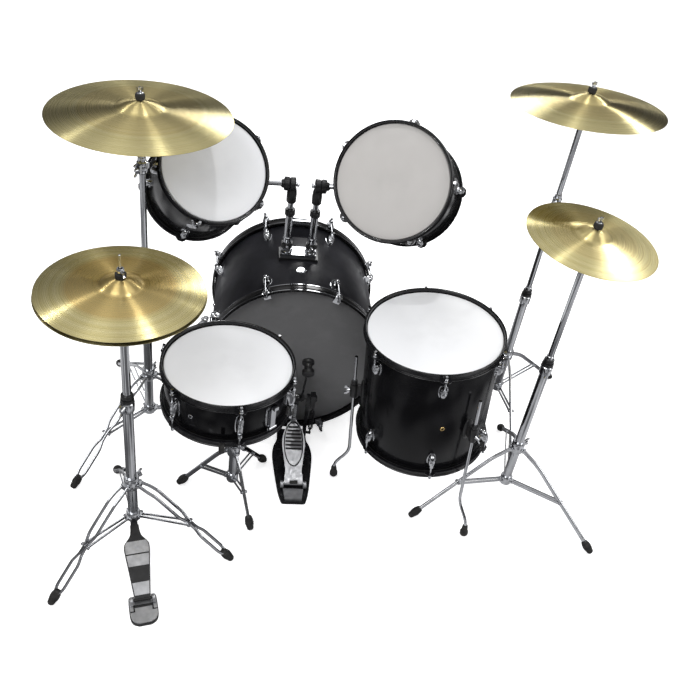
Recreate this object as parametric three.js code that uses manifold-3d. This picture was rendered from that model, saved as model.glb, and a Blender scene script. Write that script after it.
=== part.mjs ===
// A five-piece acoustic drum kit with hi-hat, three cymbal stands and two pedals.
// Millimetres, +Z up, +Y away from the player. The bass drum's axis is level and along Y.
import * as THREE from "three";
import { mergeVertices } from "three/addons/utils/BufferGeometryUtils.js";
import Module from "manifold-3d";

const wasm = await Module();
wasm.setup();

// ---- driving dimensions -------------------------------------------------
const INCH = 25.4;
const FIT = 0.3; // gap between pieces that touch
const WALL = 7; // drum shell thickness
const LIFT = 0.8; // moving feet stop this far above the floor
const KIT_CENTRE = { x: 181.4, y: -383.45 }; // centre of the kit's outline, in bass-drum coordinates

const BASS = { radius: 11 * INCH, depth: 16 * INCH, lugs: 8, hoopRadius: 292, hoopWidth: 38, sides: 32 };
const FLOOR_TOM = {
  name: "floor_tom", radius: 196, depth: 15 * INCH, lugs: 6, firstLug: -91, sides: 24,
  head: [371, -456, 640], normal: [-0.075, -0.005, 0.997],
};
const SNARE = {
  name: "snare", radius: 176, depth: 5 * INCH, lugs: 6, firstLug: -78, sides: 24,
  head: [-213, -543, 552], strainer: -48,
};
const TOMS = [
  {
    name: "left_tom", radius: 150, depth: 10 * INCH, lugs: 5, firstLug: 36, sides: 24,
    head: [-279, -160, 939], normal: [0.268, -0.705, 0.657], postX: -48, side: -1,
  },
  {
    name: "right_tom", radius: 163, depth: 11 * INCH, lugs: 5, firstLug: 36, sides: 24,
    head: [218, -208, 965], normal: [-0.357, -0.794, 0.493], postX: 32, side: 1,
  },
];
const TOM_HOLDER = { y: 0, knuckleZ: 826, postRadius: 9, rodRadius: 8, postLength: 330, socketTop: 640, plateTop: 584 };
const HOOP = { gap: 6, thickness: 3, above: 12, below: 6, rodOffset: 15, rodRadius: 3, ear: 20 };

const HIHAT = {
  x: -460, y: -737, edgeZ: 903, gap: 9, radius: 7.5 * INCH, firstLeg: -12, foot: 290, pedal: -77,
  tubeTop: 575, hubLower: 128, hubUpper: 262, hingeX: 213,
};
const CYMBALS = [
  { name: "ride", x: -470, y: -252, edgeZ: 1114, radius: 238, lean: [0, 0], firstLeg: -5, foot: 350, tubeTop: 620 },
  { name: "rear_crash", x: 786, y: -48, edgeZ: 1180, radius: 9 * INCH, lean: [-2.2, -3.8], firstLeg: 30, foot: 320, tubeTop: 515 },
  { name: "front_crash", x: 708, y: -520, edgeZ: 1002, radius: 7 * INCH, lean: [3.2, 3.3], firstLeg: -43, foot: 336, tubeTop: 590 },
];
const STAND = { tubeRadius: 14, upperRadius: 10, hubUpper: 240, hubLower: 92, legRadius: 6, footRadius: 11, bore: 11 };
const SNARE_STAND = { x: -185, y: -530, firstLeg: -68, foot: 168, hubUpper: 190, hubLower: 74, tubeTop: 300, armZ: 398.2 };
const BELL = { share: 0.25, height: 17, hole: 6.5 };
const PEDAL = {
  x: 12, heelY: -578, hingeY: -512, toeY: -292, hingeZ: 24, toeZ: 92,
  axleY: -275, axleZ: 185, beaterLean: 20, beaterLength: 205, beaterX: 20,
};
const SPUR = { y: 55, z: 236, radius: 7, direction: [0.42, 0.42, -0.8] };

// ---- materials ------------------------------------------------------------
const look = (color, roughness, metalness) => new THREE.MeshStandardMaterial({ color, roughness, metalness });
const BLACK_WRAP = look(0x0c0c0e, 0.18, 0);
const HEAD_FILM = look(0xe6e7e8, 0.45, 0);
const DARK_FILM = look(0x2b2b2d, 0.4, 0);
const BLACK_STEEL = look(0x141416, 0.3, 0.2);
const CHROME = look(0xd0d2d6, 0.12, 1);
const BRONZE = look(0xc9ac62, 0.3, 1);
const BLACK_PLASTIC = look(0x101012, 0.5, 0);
const ALUMINIUM = look(0xa9abb0, 0.4, 0.8);

// ---- solid helpers --------------------------------------------------------
function solid(geometry) {
  const flat = geometry.index ? geometry.toNonIndexed() : geometry.clone();
  flat.deleteAttribute("normal");
  flat.deleteAttribute("uv");
  const merged = mergeVertices(flat, 1e-4);
  return new wasm.Manifold(
    new wasm.Mesh({
      numProp: 3,
      vertProperties: new Float32Array(merged.attributes.position.array),
      triVerts: new Uint32Array(merged.index.array),
    }),
  );
}

function geometryOf(manifold) {
  const mesh = manifold.getMesh();
  const geometry = new THREE.BufferGeometry();
  geometry.setAttribute("position", new THREE.BufferAttribute(new Float32Array(mesh.vertProperties), 3));
  geometry.setIndex(new THREE.BufferAttribute(new Uint32Array(mesh.triVerts), 1));
  return geometry;
}

const join = (...geometries) => geometryOf(geometries.map(solid).reduce((a, b) => a.add(b)));
const cut = (geometry, ...tools) => geometryOf(tools.map(solid).reduce((a, b) => a.subtract(b), solid(geometry)));

function box(x0, x1, y0, y1, z0, z1) {
  return new THREE.BoxGeometry(x1 - x0, y1 - y0, z1 - z0).translate((x0 + x1) / 2, (y0 + y1) / 2, (z0 + z1) / 2);
}

// A closed shape of revolution about Z. The profile lists [radius, z] pairs and closes on itself or on the axis.
function turned(profile, sides) {
  const onAxis = profile[0][0] === 0;
  const points = (onAxis ? profile : [...profile, profile[0]]).map(([r, z]) => new THREE.Vector2(r, z));
  return new THREE.LatheGeometry(points, sides).rotateX(Math.PI / 2);
}

const disc = (radius, z0, z1, sides) => turned([[0, z0], [radius, z0], [radius, z1], [0, z1]], sides);
const ring = (inner, outer, z0, z1, sides) => turned([[inner, z0], [outer, z0], [outer, z1], [inner, z1]], sides);

// A round bar between two points.
function rod(from, to, radius, sides = 8, endRadius = radius) {
  const a = new THREE.Vector3(...from);
  const b = new THREE.Vector3(...to);
  const turn = new THREE.Quaternion().setFromUnitVectors(new THREE.Vector3(0, 1, 0), b.clone().sub(a).normalize());
  return new THREE.CylinderGeometry(endRadius, radius, a.distanceTo(b), sides)
    .applyQuaternion(turn)
    .translate(...a.add(b).multiplyScalar(0.5).toArray());
}

// A bar that runs through every point in turn. Each straight runs on a little, so the corners close.
function bentRod(points, radius, sides = 6) {
  const pieces = points.slice(1).map((p, i) => {
    const from = new THREE.Vector3(...points[i]);
    const to = new THREE.Vector3(...p);
    const more = i + 2 < points.length ? radius * 0.35 : 0;
    to.addScaledVector(to.clone().sub(from).normalize(), more);
    return rod(points[i], to.toArray(), radius, sides);
  });
  return join(...pieces);
}

// A flat plate with a rounded or tapered outline, given as [x, y] pairs.
function plate(outline, thickness) {
  const shape = new THREE.Shape(outline.map(([x, y]) => new THREE.Vector2(x, y)));
  return new THREE.ExtrudeGeometry(shape, { depth: thickness, bevelEnabled: false });
}

const around = (radius, degrees, z) => {
  const t = THREE.MathUtils.degToRad(degrees);
  return [radius * Math.cos(t), radius * Math.sin(t), z];
};
const turnZ = (geometry, degrees) => geometry.rotateZ(THREE.MathUtils.degToRad(degrees));
const spaced = (count, first = 0) => Array.from({ length: count }, (_, i) => first + (i * 360) / count);

const kit = new THREE.Group();
const bassFrame = new THREE.Group();
bassFrame.position.set(-KIT_CENTRE.x, -KIT_CENTRE.y, 0);
kit.add(bassFrame);

function place(name, geometry, material, group = bassFrame) {
  const mesh = new THREE.Mesh(geometry, material);
  mesh.name = name;
  group.add(mesh);
  return mesh;
}

// ---- drums ------------------------------------------------------------
// A drum's own frame has Z along its axis, with the played head at z = depth / 2.
function lug(radius, height, low, sides = 6) {
  const half = 10;
  const outline = [[-half, 0], [-half, height * 0.55], [-half * 0.45, height], [half * 0.45, height], [half, height * 0.55], [half, 0]];
  return plate(outline.slice(0, sides), 23)
    .rotateX(Math.PI / 2)
    .translate(0, 0, low)
    .rotateZ(Math.PI / 2)
    .translate(radius - 4, 0, 0);
}

// The angles of the lugs. Turning the bottom row over mirrors it, so it is built with mirrored angles.
const lugAngles = (drum, mirrored = false) => spaced(drum.lugs, drum.firstLug).map((a) => (mirrored ? -a : a));

function lugRow(drum, height, low, mirrored = false) {
  return lugAngles(drum, mirrored).map((a) => turnZ(lug(drum.radius, height, low), a));
}

function lugRows(drum, height, low) {
  return [...lugRow(drum, height, low), ...lugRow(drum, height, low, true).map((g) => g.rotateX(Math.PI))];
}

// The pressed steel hoop with its tension rods.
function rimHoop(drum, rodLength, mirrored = false) {
  const top = drum.depth / 2;
  const inner = drum.radius + HOOP.gap;
  const pieces = [ring(inner, inner + HOOP.thickness, top - HOOP.below, top + HOOP.above, drum.sides)];
  for (const a of lugAngles(drum, mirrored)) {
    const at = around(drum.radius + HOOP.rodOffset, a, top + 5);
    const end = around(drum.radius + HOOP.rodOffset, a, top - rodLength);
    pieces.push(turnZ(box(inner + 1, drum.radius + HOOP.ear, -8, 8, top - HOOP.below, top - 2), a));
    pieces.push(rod(at, end, HOOP.rodRadius, 4));
  }
  return join(...pieces);
}

// A head: film with a turned-down collar round the bearing edge.
function headCap(drum, overlap = 5, collar = 7) {
  const top = drum.depth / 2 + FIT;
  const inner = drum.radius + FIT;
  return turned(
    [[0, top], [inner, top], [inner, top - collar], [drum.radius + overlap, top - collar], [drum.radius + overlap, top + 1.5], [0, top + 1.5]],
    drum.sides,
  );
}

function addDrum(drum, group, shellGeometry, rodLength) {
  place(`${drum.name}_shell`, shellGeometry, BLACK_WRAP, group);
  place(`${drum.name}_batter_head`, headCap(drum), HEAD_FILM, group);
  place(`${drum.name}_batter_hoop`, rimHoop(drum, rodLength), BLACK_STEEL, group);
  // The bottom hoop and head stay clamped together as one unit, so the collar reaches the hoop.
  const bottom = join(rimHoop(drum, rodLength, true), headCap(drum, HOOP.gap + 1)).rotateX(Math.PI);
  place(`${drum.name}_bottom_hoop_and_head`, bottom, BLACK_STEEL, group);
}

const shellTube = (drum) => ring(drum.radius - WALL, drum.radius, -drum.depth / 2, drum.depth / 2, drum.sides);

// Bass drum: wooden hoops held by claws, and its axis turned level.
function bassHoop() {
  const front = BASS.depth / 2 + 22;
  const pieces = [ring(BASS.hoopRadius - 8, BASS.hoopRadius, front - BASS.hoopWidth, front, BASS.sides)];
  for (const a of spaced(BASS.lugs, 22.5)) {
    pieces.push(turnZ(box(BASS.hoopRadius - 10, BASS.hoopRadius + 14, -11, 11, front - 0.5, front + 4), a));
    pieces.push(rod(around(BASS.hoopRadius + 9, a, front + 26), around(BASS.hoopRadius + 9, a, BASS.depth / 2 - 48 + FIT), 3, 4));
  }
  return join(...pieces);
}

function addBassDrum() {
  const group = new THREE.Group();
  group.position.set(0, 0, BASS.hoopRadius);
  group.rotation.x = Math.PI / 2;
  bassFrame.add(group);
  const drum = { ...BASS, firstLug: 22.5 };
  const lugs = [1, -1].flatMap((end) =>
    spaced(BASS.lugs, 22.5).map((a) => {
      const made = box(BASS.radius - 4, BASS.hoopRadius + 15, -11, 11, BASS.depth / 2 - 92, BASS.depth / 2 - 48);
      return turnZ(end > 0 ? made : made.rotateX(Math.PI), a);
    }),
  );
  const spurBlocks = [1, -1].map((side) =>
    box(BASS.radius - 6, BASS.radius + 16, -24, 24, -SPUR.y - 22, -SPUR.y + 22)
      .rotateZ(Math.asin((SPUR.z - BASS.hoopRadius) / BASS.radius))
      .scale(side, 1, 1),
  );
  const closed = spurBlocks.map((g) => (solid(g).volume() < 0 ? flipped(g) : g));
  const holes = TOMS.map((t) => rod([t.postX, 200, -TOM_HOLDER.y], [t.postX, 320, -TOM_HOLDER.y], TOM_HOLDER.postRadius + 2, 12));
  place("bass_drum_shell", cut(join(shellTube(drum), ...lugs, ...closed), ...holes), BLACK_WRAP, group);
  place("bass_drum_batter_head", headCap(drum, 4.5), DARK_FILM, group);
  place("bass_drum_batter_hoop", bassHoop(), BLACK_WRAP, group);
  place("bass_drum_front_head", headCap(drum, 4.5).rotateX(Math.PI), DARK_FILM, group);
  place("bass_drum_front_hoop", bassHoop().rotateX(Math.PI), BLACK_WRAP, group);
}

// Turns a mirrored geometry's faces back round.
function flipped(geometry) {
  const flat = geometry.toNonIndexed();
  const p = flat.attributes.position.array;
  for (let i = 0; i < p.length; i += 9) for (let k = 0; k < 3; k++) [p[i + 3 + k], p[i + 6 + k]] = [p[i + 6 + k], p[i + 3 + k]];
  return flat;
}

function addSpurs() {
  for (const [name, side] of [["left", -1], ["right", 1]]) {
    const pivot = new THREE.Vector3(side * (BASS.radius + 22), SPUR.y, SPUR.z);
    const along = new THREE.Vector3(side * SPUR.direction[0], SPUR.direction[1], SPUR.direction[2]).normalize();
    const length = (pivot.z - SPUR.radius - 3) / -along.z;
    const at = (d) => pivot.clone().addScaledVector(along, d).toArray();
    const axis = new THREE.Vector3(-along.z, 0, along.x * 1).normalize().multiplyScalar(side);
    if (axis.x * side < 0) axis.negate();
    const boss = rod(pivot.toArray(), pivot.clone().addScaledVector(axis, 14).toArray(), 15, 12);
    const leg = rod(at(0), at(length - 20), SPUR.radius, 8);
    const tip = rod(at(length - 26), at(length), 10, 8, 10);
    const above = cut(join(leg.translate(...axis.clone().multiplyScalar(7).toArray()), boss, tip.translate(...axis.clone().multiplyScalar(7).toArray())), box(-900, 900, -900, 900, -60, LIFT));
    place(`bass_drum_${name}_spur`, above, CHROME);
  }
}

// ---- rack toms and their holder -----------------------------------------------
function addTomMount() {
  const seat = rod([0, -80, BASS.hoopRadius], [0, 80, BASS.hoopRadius], BASS.radius + FIT, BASS.sides);
  const body = box(-70, 54, -32, 32, 555, TOM_HOLDER.plateTop);
  const sockets = TOMS.map((t) => rod([t.postX, TOM_HOLDER.y, 570], [t.postX, TOM_HOLDER.y, TOM_HOLDER.socketTop], 17, 12));
  const bores = TOMS.map((t) => rod([t.postX, TOM_HOLDER.y, 500], [t.postX, TOM_HOLDER.y, 700], TOM_HOLDER.postRadius + FIT, 12));
  place("tom_mount", cut(join(body, ...sockets), seat, ...bores), CHROME);
}

function tomFrame(tom) {
  const n = new THREE.Vector3(...tom.normal).normalize();
  const head = new THREE.Vector3(...tom.head);
  const knuckle = new THREE.Vector3(tom.postX + tom.side * 16, TOM_HOLDER.y, TOM_HOLDER.knuckleZ);
  const toKnuckle = knuckle.clone().sub(head);
  const along = toKnuckle.dot(n);
  const outward = toKnuckle.clone().addScaledVector(n, -along);
  const reach = outward.length();
  outward.normalize();
  const group = new THREE.Group();
  group.position.copy(head).addScaledVector(n, -tom.depth / 2 - HOOP.above);
  group.quaternion.setFromRotationMatrix(new THREE.Matrix4().makeBasis(outward, n.clone().cross(outward), n));
  return { group, knuckle, outward, reach, rodZ: along + tom.depth / 2 + HOOP.above };
}

function addRackTom(tom) {
  const drum = tom;
  const { group, knuckle, outward, reach, rodZ } = tomFrame(tom);
  bassFrame.add(group);
  const h = TOM_HOLDER;
  const bracket = box(drum.radius - 5, drum.radius + 24, -20, 20, rodZ - 24, rodZ + 24);
  const bore = rod([drum.radius - 60, 0, rodZ], [drum.radius + 60, 0, rodZ], h.rodRadius + FIT, 12);
  const lugs = lugRows(drum, 40, drum.depth / 2 - 76);
  addDrum(drum, group, cut(join(shellTube(drum), ...lugs, bracket), bore), 36 - FIT);
  // The holder's arm: a knuckle half that meets the post's half, and a rod that enters the drum.
  const s = tom.side;
  const rodEnd = knuckle.clone().addScaledVector(outward, -(reach - drum.radius + 45));
  const half = rod([knuckle.x - s * 7.5, h.y, h.knuckleZ], [knuckle.x + s * 8, h.y, h.knuckleZ], 19, 12);
  const arm = join(half, rod(knuckle.clone().addScaledVector(outward, -4).toArray(), rodEnd.toArray(), h.rodRadius, 12));
  place(`${tom.name}_arm`, arm, CHROME);
  const post = rod([tom.postX, h.y, h.knuckleZ - 15 - h.postLength], [tom.postX, h.y, h.knuckleZ - 20], h.postRadius, 12);
  const yoke = rod([tom.postX - s * 8, h.y, h.knuckleZ], [tom.postX + s * 8, h.y, h.knuckleZ], 19, 12);
  const collar = rod([tom.postX, h.y, h.socketTop + FIT], [tom.postX, h.y, h.socketTop + 22], 15, 12);
  place(`${tom.name}_post`, join(post, yoke, collar, box(tom.postX - 8, tom.postX + 8, h.y - 9, h.y + 9, h.knuckleZ - 30, h.knuckleZ - 10)), CHROME);
}

// ---- floor tom ------------------------------------------------------------
function addFloorTom() {
  const drum = FLOOR_TOM;
  const n = new THREE.Vector3(...drum.normal).normalize();
  const group = new THREE.Group();
  group.position.set(...drum.head).addScaledVector(n, -drum.depth / 2 - HOOP.above);
  group.quaternion.setFromUnitVectors(new THREE.Vector3(0, 0, 1), n);
  bassFrame.add(group);
  const legAt = drum.radius + 27;
  const angles = [179, -61, 59];
  const brackets = angles.map((a) => turnZ(box(drum.radius - 5, legAt + 14, -14, 14, -62, -8), a));
  const bores = angles.map((a) => turnZ(rod([legAt, 0, -100], [legAt, 0, 40], 5.5, 12), a));
  const lugs = lugRows(drum, 42, drum.depth / 2 - 80);
  addDrum(drum, group, cut(join(shellTube(drum), ...lugs, ...brackets), ...bores), 38 - FIT);
  // Legs slide in the brackets and step outwards below the drum.
  group.updateMatrix();
  angles.forEach((a, i) => {
    const down = new THREE.Vector3(0, 0, -1).applyQuaternion(group.quaternion);
    const bend = new THREE.Vector3(...around(legAt, a, 0)).applyMatrix4(group.matrix);
    const floorRun = (bend.z - 8) / -down.z;
    const z = (fromFloor) => -(floorRun - fromFloor);
    const path = [[legAt, 0, 96], [legAt, 0, z(112)], [legAt + 46, 0, z(58)], [legAt + 46, 0, z(16)]];
    const foot = new THREE.SphereGeometry(13, 8, 5).translate(legAt + 46, 0, z(9));
    const leg = turnZ(join(bentRod(path, 5), foot), a);
    const world = cut(leg.applyMatrix4(group.matrix), box(-900, 900, -1200, 900, -60, LIFT));
    place(`floor_tom_leg_${i + 1}`, world, CHROME);
  });
}

// ---- stands -------------------------------------------------------------
// A tripod: tube, two collars, three bent legs with rubber feet and three struts.
function tripod(s) {
  const pieces = [
    rod([0, 0, s.hubLower - 16], [0, 0, s.tubeTop], s.tubeRadius, 10),
    rod([0, 0, s.hubUpper - 16], [0, 0, s.hubUpper + 16], s.tubeRadius + 6, 10),
    rod([0, 0, s.hubLower - 12], [0, 0, s.hubLower + 12], s.tubeRadius + 5, 10),
    rod([0, 0, s.tubeTop - 34], [0, 0, s.tubeTop + 0.2], s.tubeRadius + 4, 10),
  ];
  const knee = [s.tubeRadius + 0.22 * (s.foot - s.tubeRadius), 0, s.hubUpper - 0.13 * s.hubUpper];
  const end = [s.foot, 0, s.footRadius];
  const mid = [knee[0] + 0.42 * (end[0] - knee[0]), 0, knee[2] + 0.42 * (end[2] - knee[2])];
  const toe = [s.foot - 34, 0, end[2] + (34 * (knee[2] - end[2])) / (end[0] - knee[0])];
  for (const a of spaced(3, s.firstLeg)) {
    const leg = bentRod([[s.tubeRadius, 0, s.hubUpper], knee, toe], s.legRadius, 4);
    const strut = rod([s.tubeRadius, 0, s.hubLower], mid, s.legRadius - 1.5, 4);
    pieces.push(turnZ(join(leg, strut, rod(toe, end, s.footRadius, 6)), a));
  }
  return join(...pieces);
}

// A cymbal about its own axis: edge plane at z = 0 and the bell's hole on top.
function cymbal(radius, hole = BELL.hole) {
  const bell = radius * BELL.share;
  const bow = radius * 0.09;
  const skin = 1.4;
  const outer = [[radius, 0], [bell, bow], [bell * 0.62, bow + BELL.height * 0.72], [hole, bow + BELL.height]];
  const inner = outer.map(([r, z]) => [r, z - skin]).reverse();
  return turned([...outer, ...inner], 24);
}
const bellTop = (radius) => radius * 0.09 + BELL.height;

function addCymbalStand(c) {
  const stand = new THREE.Group();
  stand.position.set(c.x, c.y, 0);
  bassFrame.add(stand);
  const s = { ...STAND, ...c };
  const bore = rod([0, 0, c.tubeTop - 240], [0, 0, c.tubeTop + 5], STAND.bore + FIT, 12);
  place(`${c.name}_tripod`, cut(tripod(s), bore), CHROME, stand);
  // The upper tube slides in the tripod's tube and carries half of the tilter.
  const holeZ = c.edgeZ + bellTop(c.radius);
  const pivotZ = holeZ - 62;
  const tube = [
    rod([0, 0, c.tubeTop - 160], [0, 0, c.tubeTop + 20], STAND.bore, 12),
    rod([0, 0, c.tubeTop + 10], [0, 0, pivotZ - 14], STAND.upperRadius - 1.5, 12),
    rod([0, 0, c.tubeTop + 2], [0, 0, c.tubeTop + 26], STAND.tubeRadius + 2, 12),
    rod([-9, 0, pivotZ], [0, 0, pivotZ], 14, 12),
    box(-9, 0, -8, 8, pivotZ - 26, pivotZ - 6),
  ];
  place(`${c.name}_upper_tube`, join(...tube), CHROME, stand);
  const half = [
    rod([0.4, 0, pivotZ], [9, 0, pivotZ], 14, 12),
    box(0.4, 9, -6, 6, pivotZ + 6, pivotZ + 24),
    rod([0, 0, pivotZ + 20], [0, 0, pivotZ + 34], 7, 8),
    rod([0, 0, pivotZ + 26], [0, 0, pivotZ + 98], 3.5, 8),
    rod([0, 0, pivotZ + 40], [0, 0, pivotZ + 44], 13, 12),
    rod([0, 0, pivotZ + 78], [0, 0, pivotZ + 88], 8, 8),
  ];
  place(`${c.name}_tilter`, join(...half), CHROME, stand);
  const plateGroup = new THREE.Group();
  plateGroup.position.set(0, 0, holeZ);
  plateGroup.rotation.set(THREE.MathUtils.degToRad(c.lean[1]), THREE.MathUtils.degToRad(c.lean[0]), 0);
  stand.add(plateGroup);
  place(`${c.name}_cymbal`, cymbal(c.radius).translate(0, 0, -bellTop(c.radius)), BRONZE, plateGroup);
}

// ---- hi-hat ---------------------------------------------------------------
function addHiHat() {
  const h = HIHAT;
  const stand = new THREE.Group();
  stand.position.set(h.x, h.y, 0);
  bassFrame.add(stand);
  const tubeTop = h.tubeTop;
  const s = { ...STAND, ...h };
  place("hihat_tripod", cut(tripod(s), rod([0, 0, 40], [0, 0, tubeTop + 5], STAND.bore + FIT, 12)), CHROME, stand);
  const lowEdge = h.edgeZ - h.gap;
  const seatZ = lowEdge - bellTop(h.radius) - 3;
  const upper = [
    rod([0, 0, tubeTop - 180], [0, 0, seatZ - 20], STAND.bore, 12),
    rod([0, 0, tubeTop + 1], [0, 0, tubeTop + 24], STAND.tubeRadius + 3, 12),
    rod([0, 0, seatZ - 34], [0, 0, seatZ - 6], 14, 12, 22),
  ];
  place("hihat_upper_tube", cut(join(...upper), rod([0, 0, 300], [0, 0, 900], 5, 12)), CHROME, stand);
  place("hihat_bottom_cymbal", cymbal(h.radius, 8).rotateX(Math.PI).translate(0, 0, lowEdge), BRONZE, stand);
  const rodTop = h.edgeZ + bellTop(h.radius) + 62;
  place("hihat_pull_rod", join(rod([0, 0, 118], [0, 0, rodTop], 3, 8), rod([0, 0, 112], [0, 0, 128], 7, 8)), CHROME, stand);
  const bell = h.edgeZ + bellTop(h.radius);
  const clutch = join(rod([0, 0, bell - 12], [0, 0, bell + 28], 5.5, 8), rod([0, 0, bell + 8], [0, 0, bell + 26], 11, 8), rod([0, 0, bell - 13], [0, 0, bell - 9], 10, 8));
  place("hihat_clutch", cut(clutch, rod([0, 0, bell - 40], [0, 0, bell + 60], 3 + FIT, 8)), CHROME, stand);
  place("hihat_top_cymbal", cymbal(h.radius, 8).translate(0, 0, h.edgeZ), BRONZE, stand);
  addHiHatPedal(stand, h.pedal);
}

function addHiHatPedal(stand, azimuth) {
  const heading = new THREE.Group();
  heading.rotation.z = THREE.MathUtils.degToRad(azimuth);
  stand.add(heading);
  // In this frame X runs from the tube to the heel.
  const hingeX = HIHAT.hingeX;
  const heel = plate([[hingeX - 20, -38], [hingeX + 56, -36], [hingeX + 70, -24], [hingeX + 70, 24], [hingeX + 56, 36], [hingeX - 20, 38]], 9);
  const rail = box(20, hingeX, -12, 12, 0, 6);
  const ears = [-1, 1].map((side) => box(hingeX - 10, hingeX + 8, side * 30 - 4, side * 30 + 4, 0, 28));
  const mast = box(18, 26, -18, 18, 0, 60);
  place("hihat_heel_plate", join(heel, rail, ...ears, mast), ALUMINIUM, heading);
  const slope = Math.atan2(96 - 20, hingeX - 16);
  const side = [[4, 22], [20, 23], [100, 30], [145, 35], [160, 30], [172, 15], [207, 12]];
  const board = plate([...side.map(([x, y]) => [x, -y]), ...side.reverse()], 5)
    .rotateY(Math.PI)
    .translate(0, 0, 5)
    .rotateY(slope)
    .translate(hingeX, 0, 20);
  const pin = rod([hingeX, -25, 20], [hingeX, 25, 20], 4, 8);
  const knuckle = box(hingeX - 20, hingeX, -22, 22, 17, 26);
  place("hihat_footboard", join(board, pin, knuckle), ALUMINIUM, heading);
}

// ---- snare drum and its stand ------------------------------------------------
function addSnare() {
  const drum = SNARE;
  const group = new THREE.Group();
  group.position.set(drum.head[0], drum.head[1], drum.head[2] - drum.depth / 2 - HOOP.above);
  bassFrame.add(group);
  const strainerAngle = drum.strainer;
  const butt = turnZ(box(drum.radius - 5, drum.radius + 12, -16, 16, -52, -18), strainerAngle + 180);
  const strainer = turnZ(box(drum.radius - 5, drum.radius + 9, -15, 15, -46, 30), strainerAngle);
  const lugs = lugRow(drum, 60, -30);
  addDrum(drum, group, join(shellTube(drum), ...lugs, butt, strainer), drum.depth / 2 - 30 - FIT);
  const leverGroup = new THREE.Group();
  leverGroup.rotation.z = THREE.MathUtils.degToRad(strainerAngle);
  group.add(leverGroup);
  const r = drum.radius + 9 + FIT;
  place("snare_throw_off_lever", join(box(r, r + 7, -9, 9, -36, 44), box(r, r + 16, -6, 6, 34, 44), rod([r + 4, -12, -36], [r + 4, 12, -36], 4, 8)), CHROME, leverGroup);
  const wires = box(-drum.radius + 18, drum.radius - 18, -21, 21, -drum.depth / 2 - 5.6, -drum.depth / 2 - 2.4);
  place("snare_wires", turnZ(wires, strainerAngle), CHROME, group);
}

function addSnareStand() {
  const s = SNARE_STAND;
  const stand = new THREE.Group();
  stand.position.set(s.x, s.y, 0);
  bassFrame.add(stand);
  const base = tripod({ ...STAND, ...s, tubeRadius: 13 });
  place("snare_stand_tripod", cut(base, rod([0, 0, s.tubeTop - 170], [0, 0, s.tubeTop + 5], 9 + FIT, 12)), CHROME, stand);
  const pivotZ = s.armZ - 30;
  const upper = [
    rod([0, 0, s.tubeTop - 120], [0, 0, pivotZ - 12], 9, 12),
    rod([-10, 0, pivotZ], [0, 0, pivotZ], 12, 12),
    box(-10, 0, -8, 8, pivotZ - 20, pivotZ - 6),
  ];
  place("snare_stand_upper_tube", join(...upper), CHROME, stand);
  const dx = SNARE.head[0] - s.x;
  const dy = SNARE.head[1] - s.y;
  const reach = SNARE.radius + HOOP.ear + 7;
  const arms = spaced(3, 28).map((a) => {
    const path = [[0, 0, s.armZ - 6], [reach, 0, s.armZ - 2], [reach, 0, s.armZ + 36]];
    return turnZ(bentRod(path, 4.5, 4), a).translate(dx, dy, 0);
  });
  const hub = [
    rod([0.4, 0, pivotZ], [10, 0, pivotZ], 12, 12),
    box(0.4, 10, -7, 7, pivotZ + 6, s.armZ - 6),
    box(dx - 4, 10, dy - 6, 7, s.armZ - 16, s.armZ - 6),
    rod([dx, dy, s.armZ - 16], [dx, dy, s.armZ + 3], 17, 12),
  ];
  place("snare_basket", join(...hub, ...arms), CHROME, stand);
}

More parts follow.
